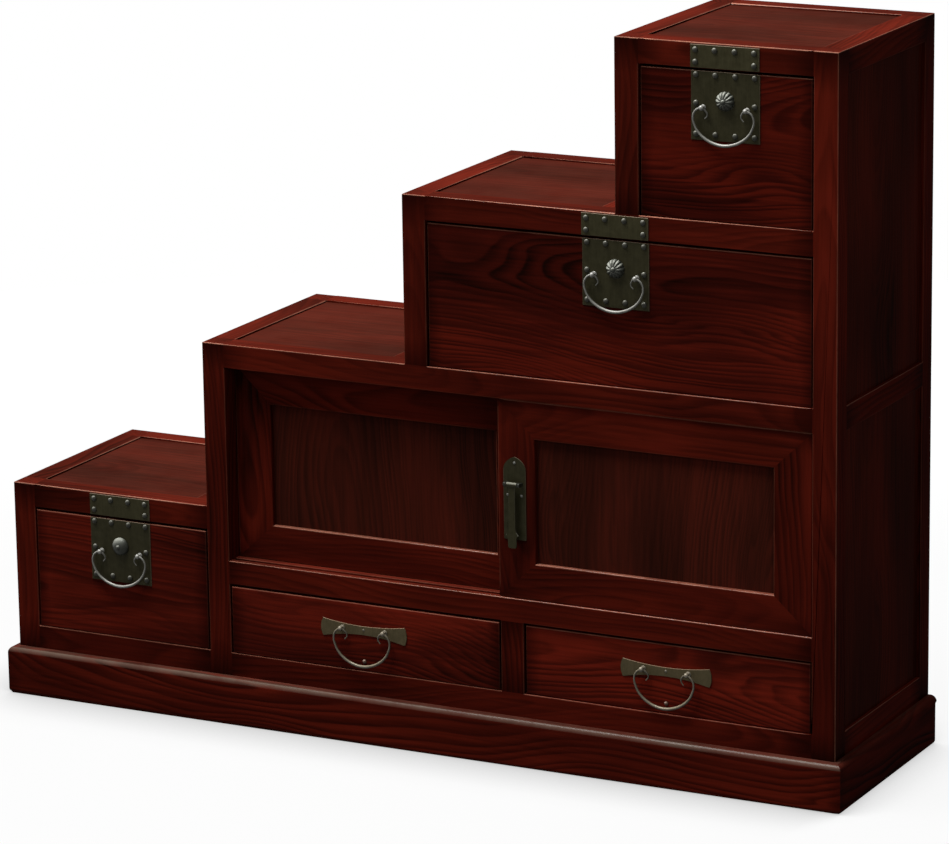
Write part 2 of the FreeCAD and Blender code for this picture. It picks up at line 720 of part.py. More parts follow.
def turned_nail(name, kind):
    """A dome nail along Y, its head's flat underside at the origin and its shank behind it."""
    return turned(name, [("0", f"-{kind}_dome_height", f"{kind}_curve"), (f"{kind}_radius", "0"),
                         (f"{kind}_shank_radius", "0"), (f"{kind}_shank_radius", f"{kind}_shank_length"),
                         ("0", f"{kind}_shank_length")])


def rod(name, radius, low, high, along, z="0"):
    """A round rod along X or Y between two limits."""
    item = doc.addObject("Part::Cylinder", name)
    turn = {"x": FreeCAD.Rotation(V(0, 1, 0), 90), "y": FreeCAD.Rotation(V(1, 0, 0), -90)}[along]
    item.Placement = FreeCAD.Placement(V(), turn)
    bind(item, Radius=radius, Height=f"({high}) - ({low})")
    put(item, low if along == "x" else "0", low if along == "y" else "0", z)
    return item


def copies(pattern, places_of_copies):
    """One shape repeated at several (x, z) places."""
    return Part.makeCompound([pattern.Shape.translated(V(value(x), 0, value(z)))
                              for x, z in places_of_copies])


def make_eye():
    """A handle post: a round eye on a neck, with a shank for the wood behind the plate."""
    half = "eye_width / 2"
    eye = rod("eye_round", "eye_radius", f"-{half}", half, "x")
    neck = board("eye_neck", (f"-{half}", half), ("0", "bail_standoff"),
                 ("-eye_neck_height / 2", "eye_neck_height / 2"))
    shank = rod("eye_shank", "eye_shank_radius", "bail_standoff - overrun",
                "bail_standoff + eye_shank_length", "y")
    bore = rod("eye_bore", "eye_bore_radius", f"-{half} - overrun", f"{half} + overrun", "x")
    return cut("eye_post", joined("eye_solid", joined("eye_and_neck", eye, neck), shank), [bore])


def bail_shape(spacing, width, hang):
    """A drop handle about its own hinge line: a bent wire with a knob inside each eye."""
    wire = value("bail_wire_radius")
    shoulder = value("bail_shoulder_radius")
    corner = value("bail_corner_radius")
    start = value(f"{spacing} / 2 - eye_width / 2 - bail_end_length")
    side = value(f"{width} / 2") - wire
    bottom = -(value(hang) - wire)
    arm = side - shoulder
    slant = math.sqrt(0.5)
    right = [Part.LineSegment(V(start, 0, 0), V(arm, 0, 0)),
             Part.Arc(V(arm, 0, 0), V(arm + shoulder * slant, 0, shoulder * (slant - 1)),
                      V(side, 0, -shoulder)),
             Part.LineSegment(V(side, 0, -shoulder), V(side, 0, bottom + corner)),
             Part.Arc(V(side, 0, bottom + corner),
                      V(side - corner * (1 - slant), 0, bottom + corner * (1 - slant)),
                      V(side - corner, 0, bottom))]
    low = Part.LineSegment(V(side - corner, 0, bottom), V(corner - side, 0, bottom)).toShape()
    edges = [item.toShape() for item in right]
    mirrored = [edge.mirror(V(), V(1, 0, 0)) for edge in reversed(edges)]
    path = Part.Wire(Part.__sortEdges__(edges + [low] + mirrored))
    ring = Part.Wire(Part.makeCircle(wire, V(start, 0, 0), V(1, 0, 0)))
    shape = path.makePipeShell([ring], True, False)
    for end in (start, -start):
        shape = shape.fuse(Part.makeSphere(value("bail_knob_radius"), V(end, 0, 0)))
    return shape.removeSplitter()


def drawer_spans():
    """Each drawer's opening and how its front sits in it."""
    return {
        "low": (("inner_1", "step_2"), ("base_top", "level_1 - rail_height"), "flush_setback"),
        "small_left": (("inner_2", "divider_left"), ("base_top", "sill_bottom"), "flush_setback"),
        "small_right": (("divider_right", "right_post"), ("base_top", "sill_bottom"), "drawer_setback"),
        "upper": (("inner_3", "right_post"), ("level_2", "level_3 - rail_height"), "drawer_setback"),
        "top": (("inner_4", "right_post"), ("level_3", "level_4 - rail_height"), "drawer_setback")}


def make_drawer(name, across, height, setback, holes):
    """A drawer: an eased front lapped over two sides, a back and a bottom."""
    x = (f"{across[0]} + drawer_side_gap", f"{across[1]} - drawer_side_gap")
    z = (f"{height[0]} + drawer_running_gap", f"{height[1]} - drawer_top_gap")
    face = f"front + {setback}"
    lap = f"{face} + drawer_front_thickness - drawer_wall_lap"
    back = "rear_rail_front - drawer_back_gap"
    corners = [(x[0], z[0]), (x[1], z[0]), (x[1], z[1]), (x[0], z[1])]
    front = plate(f"{name}_front_board", "XZ_Plane", corners, "drawer_front_thickness", backwards=True)
    rounded(front, "drawer_edge_radius", lambda middle: near(middle.y, "0"))
    put(front, y=face)
    wall = (f"{z[0]} + drawer_bottom_thickness", f"{z[1]} - drawer_wall_drop")
    inside = (f"{x[0]} + drawer_wall_thickness", f"{x[1]} - drawer_wall_thickness")
    walls = [board(f"{name}_left_side", (x[0], inside[0]), (lap, back), wall),
             board(f"{name}_right_side", (inside[1], x[1]), (lap, back), wall),
             board(f"{name}_back_wall", inside, (f"{back} - drawer_wall_thickness", back), wall),
             board(f"{name}_bottom", x, (lap, back), (z[0], f"{z[0]} + drawer_bottom_thickness"))]
    keep(f"{name}_drawer_front", cut(f"{name}_front", front, walls + holes))
    keep(f"{name}_drawer_box", together(f"{name}_walls", walls))


def nail_rows(rows):
    """Places of nails in rows of two or four, measured down from a plate's top edge."""
    spots = []
    for drop, offsets in rows:
        for offset in offsets:
            spots += [(f"-{offset}", f"-{drop}"), (offset, f"-{drop}")]
    return spots


BOTH_OFFSETS = ("nail_outer_offset", "nail_inner_offset")
LOCK_NAILS = nail_rows((("lock_nail_upper_row", BOTH_OFFSETS), ("lock_nail_middle_row", BOTH_OFFSETS[:1]),
                        ("lock_nail_lower_row", BOTH_OFFSETS)))
RAIL_NAILS = nail_rows((("rail_nail_upper_row", BOTH_OFFSETS), ("rail_nail_lower_row", BOTH_OFFSETS[:1])))


def rectangle(width, low, high):
    """Corners of an upright plate that is centred on its own middle line."""
    return [(f"-{width} / 2", low), (f"{width} / 2", low), (f"{width} / 2", high), (f"-{width} / 2", high)]


def make_lock_fittings(name, across, height, setback, nail, nail_hole, eye, eye_hole, rosette):
    """A large drawer's plate with its rosette, dome nails, handle posts and drop handle."""
    middle = f"({across[0]} + {across[1]}) / 2"
    face = f"front + {setback}"
    plate_face = f"{face} - plate_thickness"
    top = f"{height[1]} - drawer_top_gap"
    axis = f"{top} - bail_drop"
    eyes = [("-bail_post_spacing / 2", "0"), ("bail_post_spacing / 2", "0")]
    holes = [fixed(f"{name}_nail_holes", copies(nail_hole, LOCK_NAILS), middle, plate_face, top),
             fixed(f"{name}_eye_holes", copies(eye_hole, eyes), middle, plate_face, axis)]
    blank = plate(f"{name}_lock_blank", "XZ_Plane", rectangle("plate_width", "-lock_plate_height", "0"),
                  "plate_thickness")
    put(blank, middle, face, top)
    lock_plate = cut(f"{name}_lock_pierced", blank, holes)
    boss = fixed(f"{name}_rosette", rosette.Shape.copy(), middle, plate_face, f"{top} - rosette_drop")
    keep(f"{name}_lock_plate", together(f"{name}_lock_set", [lock_plate, boss]))
    nails = fixed(f"{name}_nails", copies(nail, LOCK_NAILS), middle, plate_face, top)
    posts = fixed(f"{name}_posts", copies(eye, eyes), middle, f"{plate_face} - bail_standoff", axis)
    keep(f"{name}_nails_and_posts", together(f"{name}_fastener_set", [nails, posts]))
    bail = bail_shape("bail_post_spacing", "bail_width", "bail_hang")
    keep(f"{name}_bail", fixed(f"{name}_drop_handle", bail, middle, f"{plate_face} - bail_standoff", axis))
    return holes


def make_small_fittings(name, across, height, setback, nail, nail_hole, eye, eye_hole):
    """A small drawer's curved plate, handle posts, nail, rest stud and drop handle."""
    middle = f"({across[0]} + {across[1]}) / 2"
    face = f"front + {setback}"
    plate_face = f"{face} - plate_thickness"
    axis = f"{height[0]} + handle_post_height"
    eyes = [("-handle_post_spacing / 2", "0"), ("handle_post_spacing / 2", "0")]
    middle_nail = [("0", "0")]
    stud = f"{height[0]} + rest_stud_height"
    holes = [fixed(f"{name}_nail_hole", copies(nail_hole, middle_nail), middle, plate_face, axis),
             fixed(f"{name}_eye_holes", copies(eye_hole, eyes), middle, plate_face, axis),
             fixed(f"{name}_stud_hole", copies(nail_hole, middle_nail), middle, face, stud)]
    half = "handle_plate_width / 2"
    corners = [(f"-{half}", "-handle_plate_bottom", "-handle_bottom_radius"),
               (half, "-handle_plate_bottom", "handle_end_radius"),
               (half, "handle_plate_top", "-handle_top_radius"),
               (f"-{half}", "handle_plate_top", "handle_end_radius")]
    blank = plate(f"{name}_handle_blank", "XZ_Plane", corners, "plate_thickness")
    put(blank, middle, face, axis)
    keep(f"{name}_handle_plate", cut(f"{name}_handle_pierced", blank, holes[:2]))
    parts = [fixed(f"{name}_nail", copies(nail, middle_nail), middle, plate_face, axis),
             fixed(f"{name}_stud", copies(nail, middle_nail), middle, face, stud),
             fixed(f"{name}_posts", copies(eye, eyes), middle, f"{plate_face} - bail_standoff", axis)]
    keep(f"{name}_nails_and_posts", together(f"{name}_fastener_set", parts))
    bail = bail_shape("handle_post_spacing", "handle_bail_width", "handle_bail_hang")
    keep(f"{name}_bail", fixed(f"{name}_drop_handle", bail, middle, f"{plate_face} - bail_standoff", axis))
    return holes


def make_rail_fittings(drawers, nail, nail_hole, rails):
    """Plates nailed over the rails above the large drawers; the rails are drilled for their nails."""
    plates = []
    nails = []
    rail_of = {"low": "low_step_rail", "upper": "third_step_rail", "top": "top_step_rail"}
    for name, label in rail_of.items():
        across, height, setback = drawers[name]
        middle = f"({across[0]} + {across[1]}) / 2"
        top = f"{height[1]} + rail_height - rail_plate_drop"
        holes = fixed(f"{name}_rail_holes", copies(nail_hole, RAIL_NAILS), middle,
                      "front - plate_thickness", top)
        blank = plate(f"{name}_rail_blank", "XZ_Plane", rectangle("plate_width", "-rail_plate_height", "0"),
                      "plate_thickness")
        put(blank, middle, "front", top)
        plates.append(cut(f"{name}_rail_plate", blank, [holes]))
        nails.append(fixed(f"{name}_rail_nails", copies(nail, RAIL_NAILS), middle,
                           "front - plate_thickness", top))
        keep(label, cut(f"{name}_drilled_rail", nodes[label], [holes]))
    keep("rail_plates", together("rail_plate_set", plates))
    keep("rail_nails", together("rail_nail_set", nails))


def make_fittings():
    """Drawers and doors with their metalwork."""
    nail = turned_nail("dome_nail", "nail")
    nail_hole = rod("nail_hole", "nail_shank_radius + shank_clearance", "-overrun",
                    "nail_shank_length + shank_clearance", "y")
    eye = make_eye()
    eye_hole = rod("eye_hole", "eye_shank_radius + shank_clearance", "-overrun",
                   "eye_shank_length + shank_clearance", "y")
    rosette = turned("rosette", [("0", "-rosette_height - rosette_tip_height", "rosette_tip_curve"),
                                 ("rosette_tip_radius", "-rosette_height", "rosette_dome_radius"),
                                 ("rosette_radius", "-rosette_rim"), ("rosette_radius", "0"), ("0", "0")])
    doc.recompute()
    drawers = drawer_spans()
    for name, (across, height, setback) in drawers.items():
        if name.startswith("small"):
            holes = make_small_fittings(name, across, height, setback, nail, nail_hole, eye, eye_hole)
        else:
            holes = make_lock_fittings(name, across, height, setback, nail, nail_hole, eye, eye_hole,
                                       rosette)
        make_drawer(name, across, height, setback, holes)
    make_rail_fittings(drawers, nail, nail_hole, front_rails)


def make_door(name, low, face, holes):
    """A sliding door: four mitred members round a panel, with tongues for the tracks."""
    x = (low, f"{low} + door_width")
    z = ("door_bottom", "door_top")
    inner = (f"{x[0]} + door_stile_width", f"{x[1]} - door_stile_width")
    clear = (f"{z[0]} + door_bottom_rail_width", f"{z[1]} - door_top_rail_width")
    depth = (f"{face} + door_panel_recess", f"{face} + door_panel_recess + door_panel_thickness")
    panel = board(f"{name}_door_board", grooved(*inner), depth, grooved(*clear))
    outlines = {
        "left_stile": [(x[0], z[0]), (inner[0], clear[0]), (inner[0], clear[1]), (x[0], z[1])],
        "right_stile": [(x[1], z[1]), (inner[1], clear[1]), (inner[1], clear[0]), (x[1], z[0])],
        "bottom_rail": [(x[0], z[0]), (x[1], z[0]), (inner[1], clear[0]), (inner[0], clear[0])],
        "top_rail": [(x[1], z[1]), (x[0], z[1]), (inner[0], clear[1]), (inner[1], clear[1])]}
    middle = f"{face} + door_thickness / 2"
    tongue_depth = (f"{middle} - door_tongue_thickness / 2", f"{middle} + door_tongue_thickness / 2")
    tongues = {"bottom_rail": (f"{z[0]} - door_tongue_depth", z[0]),
               "top_rail": (z[1], f"{z[1]} + door_head_tongue_depth")}
    members = []
    for part, corners in outlines.items():
        member = plate(f"{name}_{part}", "XZ_Plane", corners, "door_thickness", backwards=True)
        put(member, y=face)
        if part in tongues:
            tongue = board(f"{name}_{part}_tongue", x, tongue_depth, tongues[part])
            member = joined(f"{name}_{part}_tongued", member, tongue)
        mates = [panel] + (holes if part == "left_stile" else [])
        members.append(cut(f"{name}_{part}_grooved", member, mates))
    keep(f"{name}_door_frame", together(f"{name}_door_members", members))
    keep(f"{name}_door_panel", panel)


def make_pull():
    """The front door's pull: a pointed plate, a staple and a strap that swings on it."""
    plate_face = "door_front - plate_thickness"
    nail = turned_nail("pull_nail", "pull_nail")
    nail_hole = rod("pull_nail_hole", "pull_nail_shank_radius + shank_clearance", "-overrun",
                    "pull_nail_shank_length + shank_clearance", "y")
    shank_hole = rod("pull_shank_hole", "pull_nail_radius + shank_clearance", "-overrun",
                     "pull_nail_shank_length + shank_clearance", "y")
    doc.recompute()
    half_span = "pull_nail_spacing / 2"
    spots = [(f"-{half_span}", "pull_nail_lift"), (half_span, "pull_nail_lift"),
             ("0", "pull_top_nail_lift")]
    half_eyes = "pull_eye_spacing / 2"
    legs = [(f"-{half_eyes}", "pull_eye_lift"), (half_eyes, "pull_eye_lift")]
    seat = ("pull_middle", plate_face, "pull_plate_bottom")
    hinge = ("pull_middle", "pull_axis", "pull_height")
    holes = [fixed("pull_nail_holes", copies(nail_hole, spots), *seat),
             fixed("pull_leg_holes", copies(shank_hole, legs), *seat)]
    half = "pull_plate_width / 2"
    corners = [(f"-{half}", "0"), (half, "0"), (half, "pull_plate_shoulder", "pull_arch_radius"),
               ("0", "pull_plate_height", "pull_arch_radius"), (f"-{half}", "pull_plate_shoulder")]
    blank = plate("pull_plate_blank", "XZ_Plane", corners, "plate_thickness")
    put(blank, "pull_middle", "door_front", "pull_plate_bottom")
    keep("pull_plate", cut("pull_plate_pierced", blank, holes))
    keep("pull_nails", fixed("pull_nail_set", copies(nail, spots), *seat))
    staple = rod("staple_pin", "pull_pin_radius", f"-{half_eyes} - pull_eye_width / 2",
                 f"{half_eyes} + pull_eye_width / 2", "x")
    for number, side in enumerate((f"-{half_eyes}", half_eyes)):
        ear = rod(f"staple_ear_{number}", "pull_eye_radius", f"{side} - pull_eye_width / 2",
                  f"{side} + pull_eye_width / 2", "x")
        leg = board(f"staple_neck_{number}",
                    (f"{side} - pull_eye_width / 2", f"{side} + pull_eye_width / 2"),
                    ("0", "pull_standoff"), ("-pull_pin_radius", "pull_pin_radius"))
        shank = rod(f"staple_leg_{number}", "pull_nail_radius", "pull_standoff - overrun",
                    "pull_standoff + pull_nail_shank_length", "y")
        bind(shank, **{"Placement.Base.x": side})
        lug = joined(f"staple_lug_{number}", joined(f"staple_ear_leg_{number}", ear, leg), shank)
        staple = joined(f"staple_{number}", staple, lug)
    doc.recompute()
    keep("pull_staple", fixed("pull_staple_set", staple.Shape.copy(), *hinge))
    width, flare = "strap_width / 2", "strap_ear_width / 2"
    ear_low = "strap_ear_height - strap_length - strap_ear_span / 2"
    ear_middle = "strap_ear_height - strap_length"
    ear_high = "strap_ear_height - strap_length + strap_ear_span / 2"
    corners = [(f"-{width}", "-strap_length"), (width, "-strap_length"), (width, ear_low),
               (flare, ear_middle), (width, ear_high), (width, "0"), (f"-{width}", "0"),
               (f"-{width}", ear_high), (f"-{flare}", ear_middle), (f"-{width}", ear_low)]
    strap = plate("strap_blade", "XZ_Plane", corners, "strap_thickness")
    put(strap, y="strap_thickness / 2")
    knuckle = rod("strap_knuckle", "strap_knuckle_radius", f"-{width}", width, "x")
    bore = rod("strap_bore", "pull_bore_radius", f"-{width} - overrun", f"{width} + overrun", "x")
    bored = cut("strap_bored", joined("strap_solid", strap, knuckle), [bore])
    doc.recompute()
    keep("pull_strap", fixed("pull_strap_set", bored.Shape.copy(), *hinge))
    return holes


make_plinth()
front_rails = make_case()
make_fittings()
make_door("front", "front_door_left", "door_front", make_pull())
make_door("rear", "rear_door_left", "rear_door_front", [])
doc.recompute()

for item in doc.Objects:
    if "Invalid" in item.State or "Error" in item.State:
        raise RuntimeError(f"{item.Label} did not build: {item.State}")
for name, item in nodes.items():
    if item.Shape.isNull() or not item.Shape.isValid() or not item.Shape.Solids:
        raise RuntimeError(f"{name} has no valid solid")

os.makedirs("parts", exist_ok=True)
for name, item in nodes.items():
    item.Shape.exportStep(f"parts/{name}.step")
print(len(nodes), "sub-parts")
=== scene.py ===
# Looks of the step chest: lacquered boards with eased edges, iron fittings, studio and camera.
import bpy
import bmesh
import json
import math
from collections import Counter
from mathutils import Matrix, Vector
from mathutils.bvhtree import BVHTree

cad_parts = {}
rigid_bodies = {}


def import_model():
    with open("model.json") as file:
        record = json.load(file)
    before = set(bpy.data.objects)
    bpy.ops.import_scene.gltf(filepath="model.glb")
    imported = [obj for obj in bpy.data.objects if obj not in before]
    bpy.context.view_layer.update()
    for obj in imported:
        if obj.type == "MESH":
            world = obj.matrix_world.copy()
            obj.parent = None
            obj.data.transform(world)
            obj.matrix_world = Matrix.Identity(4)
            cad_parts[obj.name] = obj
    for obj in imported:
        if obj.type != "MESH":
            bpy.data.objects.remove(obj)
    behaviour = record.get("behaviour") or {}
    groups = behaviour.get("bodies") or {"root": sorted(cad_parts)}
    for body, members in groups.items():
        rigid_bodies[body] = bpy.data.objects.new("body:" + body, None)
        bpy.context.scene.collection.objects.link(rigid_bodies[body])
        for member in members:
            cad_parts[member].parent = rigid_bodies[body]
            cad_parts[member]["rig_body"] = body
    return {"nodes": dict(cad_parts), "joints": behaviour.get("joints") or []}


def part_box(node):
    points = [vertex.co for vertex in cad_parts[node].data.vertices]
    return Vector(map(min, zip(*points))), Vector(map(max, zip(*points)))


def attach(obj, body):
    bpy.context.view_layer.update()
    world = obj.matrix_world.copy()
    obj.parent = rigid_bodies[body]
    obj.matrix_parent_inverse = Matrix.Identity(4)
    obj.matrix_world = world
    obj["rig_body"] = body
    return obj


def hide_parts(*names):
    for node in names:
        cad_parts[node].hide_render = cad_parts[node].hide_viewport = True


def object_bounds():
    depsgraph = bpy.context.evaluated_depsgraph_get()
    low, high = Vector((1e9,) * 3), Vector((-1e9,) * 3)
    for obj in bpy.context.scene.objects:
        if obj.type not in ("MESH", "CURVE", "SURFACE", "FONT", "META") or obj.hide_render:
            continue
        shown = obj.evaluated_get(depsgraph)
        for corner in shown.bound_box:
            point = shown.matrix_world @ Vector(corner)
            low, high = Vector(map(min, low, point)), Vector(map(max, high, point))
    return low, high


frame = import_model()
cad_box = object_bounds()

MM = 0.001
WELD = 0.001 * MM
FLAT_ANGLE = math.radians(0.5)
SHARP_ANGLE = math.radians(35)
AXES = "xyz"

# noise: its detail and roughness where it is fine or coarse, and the values stretched to 0 and 1
FINE = (4.0, 0.65)
COARSE = (3.0, 0.6)
NOISE_SPAN = (0.3, 0.7)
WANDER_DETAIL = 1.5
WANDER_ROUGHNESS = 0.45

# growth rings: where the heart lies beside and behind a board, how often and how far it and the rings
# wander along it, how much the rings differ in width, how often knots push them aside, and how far
# apart in the noise one board lies from the next
HEART_SPREAD = 90 * MM
HEART_DEPTH = 42 * MM
HEART_STEPS = (1.7, 0.6, 0.6)
HEART_WANDER = (0.0, 0.17, 0.13)
RING_STEPS = (9.0, 26.0, 26.0)
RING_WAVE = (0.0, 0.007, 0.007)
RING_CHANGE = 2.4
YEARS_STEP = 0.4
KNOT_STEPS = (2.6, 7.5, 0.0)
KNOT_REACH = 0.34
BOARD_JUMP = (31.7, 17.3, 23.1)

# a ring's dark late wood: the shares of the ring where it starts, is full and ends, and how it fades
LATE_START = 0.25
LATE_FULL = 0.8
LATE_END = 0.86
FADE_STEPS = (3.0, 16.0, 16.0)
FADE_SPAN = (0.34, 0.66)
FAINTEST = 0.2

# fibres and slow stains: how often they change, their shares in the tone, and where the tones lie
FIBRE_STEPS = (8.0, 240.0, 240.0)
FIBRE_SHARE = 0.28
STAIN_STEPS = (3.2, 11.0, 11.0)
STAIN_DETAIL = 2.5
STAIN_SPAN = (0.33, 0.67)
STAIN_SHARE = 0.48
BASE_SHARE = 0.25
MIDDLE_TONE = 0.55
LIGHT_TONE = 0.95

# surfaces of wood and iron
WOOD_ROUGHNESS = (0.34, 0.44)
COAT = 0.008
POLISH = 0.40
PLINTH_POLISH = 0.25
COAT_ROUGHNESS = 0.22
GRAIN_RELIEF = 0.06 * MM
GRAIN_STRENGTH = 0.35
IRON_ROUGHNESS = (0.50, 0.38)
IRON_RELIEF = 0.05 * MM
IRON_STRENGTH = 0.4

# glaze at the ends of boards, and rubbed lacquer with its painted highlight: how often they change and
# between what shares
GLAZE_STEPS = (14.0, 20.0, 20.0)
GLAZE_CHANGE = 1.6
GLAZE_LEAST = 0.2
RUB_AND_LIGHT_STEPS = (22.0,) * 3
RUB_AND_LIGHT_SPAN = (0.3, 0.6)
RUB_AND_LIGHT_LEAST = 0.45
# how much lighter up-facing faces are painted, as painted light from above
TOP_LIGHTENING = 0.30

# patina: how often mottles, draw marks and pits change, and the mottles' share
MOTTLE_STEPS = (130.0,) * 3
MARK_STEPS = (420.0, 420.0, 35.0)
PIT_STEPS = (900.0,) * 3
MOTTLE_SHARE = 0.6

# an edge is eased where no other piece lies within TOUCH of its faces; this is looked up LOOK_IN inside
# them and every LOOK_STEP along the edge, and its ends are found by halving
TOUCH = 0.35 * MM
LOOK_IN = 1.2 * MM
LOOK_STEP = 12 * MM
HALVINGS = 7
EASE = 1.05 * MM
DOOR_EASE = 1.3 * MM
DRAWER_EASE = 0.6 * MM
PLINTH_EASE = 5.0 * MM
PLATE_EASE = 0.45 * MM
SHORT_EDGE = 20 * MM

# parts of a face's normal: with one above SQUARE the face is flat, otherwise it belongs to an eased edge,
# and above the others it faces that way
SQUARE = 0.985
TILTED = 0.2
FORWARD = 0.3
UPWARD = 0.5

# how rubbed eased edges are, with their painted highlight, by where they face towards the overhead lamp and
# how far they lie behind their board's front, where they are dimmed as painted shade
RUB_AND_LIGHT_GAIN = 1.3
RUB_AND_LIGHT_TOP_RIGHT = 0.35
RUB_AND_LIGHT_TOP_BACK = 0.15
RUB_AND_LIGHT_HIDDEN = 0.05
RUB_AND_LIGHT_LEFT = 0.12
SET_BACK = 4 * MM
RUB_AND_LIGHT_SET_BACK = 0.3

# the step from one board's grain to the next, how near a riser's foot a dust board shows, and the length
# that keeps upward faces out of the glaze's reach
BOARD_STEP = 0.618
BOARD_REACH = 12 * MM
UNGLAZED = 1.0

# dome nails; the higher DOME_HIGHLIGHT_NARROWNESS, the narrower their painted highlight
DOME_STEPS = 18
DOME_RIM = 0.15
DOME_HIGHLIGHT_NARROWNESS = 5
NAIL_RADIUS = 3.4 * MM
NAIL_HEIGHT = 2.3 * MM
NAIL_OUTER = 36.0 * MM
NAIL_INNER = 12.2 * MM
RAIL_NAIL_ROWS = (6.0 * MM, 20.0 * MM)
LOCK_NAIL_ROWS = (4.5 * MM, 37.0 * MM, 72.0 * MM)
STUD_LIFT = 12.0 * MM
SMALL_NAIL_RADIUS = 1.6 * MM
SMALL_NAIL_HEIGHT = 0.9 * MM

# plates, rosettes and handles
# the way the overhead lamp lies: metal facing it is painted bright as a painted highlight
PAINTED_LIGHT_FROM = Vector((-0.35, -0.45, 0.82))
REST_STUD_RADIUS = 2.6 * MM
PLATE_THICKNESS = 1.2 * MM
PLATE_EDGE = 4.0 * MM
# the share of rubbed tone and painted highlight on plate edges, and on their right-facing front edges
PLATE_RUB_AND_HIGHLIGHT = 0.8
PLATE_CORNER = 0.25
RAIL_PLATE_DROP = 2 * MM
ROSETTE_DROP = 33.0 * MM
PETAL_COUNT = 12
PETAL_STEPS = 8
PETAL_DEPTH = 1.0 * MM
PETAL_FOOT = 3.4 * MM
PETAL_RISE = 3
BOSS_RADIUS = 11.2 * MM
BOSS_FOOT = 0.2 * MM
BOSS_STEPS = 48
BOSS_HIGHLIGHT_NARROWNESS = 4
POST_STEPS = 20
POST_SPACING = {"lock": 54.0 * MM, "small": 57.5 * MM}
BAIL_HALF_WIDTH = {"lock": 37.4 * MM, "small": 38.0 * MM}
BAIL_HANG = {"lock": 41.2 * MM, "small": 44.2 * MM}
BAIL_WIRE = 1.85 * MM
BAIL_ROUNDNESS = 4
BAIL_STEPS = 8
TAIL_BEND = 2.4 * MM
LARGE_DRAWERS = ("low", "upper", "top")
SMALL_DRAWERS = ("small_left", "small_right")

# floor: how far off it turns white, how bright it looks nearer, its greys to rays that see it and to
# other rays, how far the contact shadow reaches, how open the air is where it is darkest and
# where it ends, and how dark it is; at the chest's right end it is paler and smaller
FLOOR_FADE = (0.9, 2.2)
FLOOR_WHITE = 0.92
FLOOR_LIT = (0.05, 0.05, 0.05, 1.0)
FLOOR_PLAIN = (0.12, 0.12, 0.12, 1.0)
SHADOW_REACH = 0.12
SHADOW_CLOSED = 0.45
SHADOW_OPEN = 0.95
SHADOW_DARKEST = 0.61
RIGHT_BAND = (-0.03, 0.01)
RIGHT_OPEN_CHANGE = -0.14
RIGHT_DARKEST_CHANGE = 0.10

# the light from all round, brighter from the left, and where the lamps stand
WORLD_BAND = (-0.5, 0.5)
WORLD_LEFT = 0.34
WORLD_RIGHT = 0.10
OVERHEAD_OFFSET = Vector((-0.65, -0.85, 3.0))
SIDE_PLACE = Vector((1.3, -0.9, 0.8))
SIDE_TARGET = Vector((0.56, -0.05, 0.5))
BACK_PLACE = Vector((-0.3, 1.9, 0.45))

# camera: its place, its turns in degrees and its focal length in pixels of the photograph
IMAGE_WIDTH = 949
SENSOR_WIDTH = 36.0
FOCAL_PIXELS = 4854
CAMERA_PLACE = Vector((2.6142, -5.0123, 1.8275))
CAMERA_TURN = 27.354
CAMERA_TILT = 75.557
CAMERA_ROLL = -0.811


def colour(red, green, blue):
    """A colour from its three shares of light."""
    return (red, green, blue, 1.0)


GLAZE_TONE = colour(0.006, 0.0012, 0.0007)
# the tone of rubbed lacquer edges, bright enough to serve as their painted highlight
RUBBED_LIT_LACQUER = colour(0.51, 0.205, 0.13)


def add(tree, kind, inputs=None, **settings):
    """A shader node with its settings made and its inputs filled or linked."""
    node = tree.nodes.new(kind)
    for name, setting in settings.items():
        setattr(node, name, setting)
    for name, value in (inputs or {}).items():
        if isinstance(value, bpy.types.NodeSocket):
            tree.links.new(value, node.inputs[name])
        else:
            node.inputs[name].default_value = value
    return node


def mixed(tree, share, first, second):
    """Two colours mixed by a share."""
    return add(tree, "ShaderNodeMix", {0: share, 6: first, 7: second}, data_type="RGBA").outputs[2]


def maths(tree, operation, *values):
    """The result of an operation on values."""
    return add(tree, "ShaderNodeMath", dict(enumerate(values)), operation=operation).outputs[0]


def spread(tree, value, low, high, bottom=0.0, top=1.0):
    """A value stretched from one range to another and clamped there."""
    limits = {"Value": value, "From Min": low, "From Max": high, "To Min": bottom, "To Max": top}
    return add(tree, "ShaderNodeMapRange", limits).outputs[0]


def vector_maths(tree, operation, *vectors):
    """The results of an operation on vectors."""
    return add(tree, "ShaderNodeVectorMath", dict(enumerate(vectors)), operation=operation).outputs


def scaled(tree, vector, scale):
    """A vector stretched along each axis."""
    return vector_maths(tree, "MULTIPLY", vector, scale)[0]


def noise(tree, vector, steps, detail=2.0, roughness=0.5):
    """Soft noise over a vector, by how often it changes along each axis."""
    inputs = {"Vector": scaled(tree, vector, steps), "Scale": 1.0, "Detail": detail, "Roughness": roughness}
    return add(tree, "ShaderNodeTexNoise", inputs).outputs["Fac"]


def new_group(name, inputs, outputs):
    """A node group with named sockets, and its input and output nodes."""
    group = bpy.data.node_groups.new(name, "ShaderNodeTree")
    for direction, sockets in (("INPUT", inputs), ("OUTPUT", outputs)):
        for label, kind in sockets:
            group.interface.new_socket(label, in_out=direction, socket_type=f"NodeSocket{kind}")
    return group, group.nodes.new("NodeGroupInput").outputs, group.nodes.new("NodeGroupOutput").inputs


def wandering(tree, place, steps, reach):
    """A smooth wander of places, by how often it changes and how far it goes along each axis."""
    inputs = {"Vector": scaled(tree, place, steps), "Scale": 1.0, "Detail": WANDER_DETAIL,
              "Roughness": WANDER_ROUGHNESS}
    wave = add(tree, "ShaderNodeTexNoise", inputs).outputs["Color"]
    shift = vector_maths(tree, "SUBTRACT", wave, (0.5, 0.5, 0.5))[0]
    return scaled(tree, shift, reach)


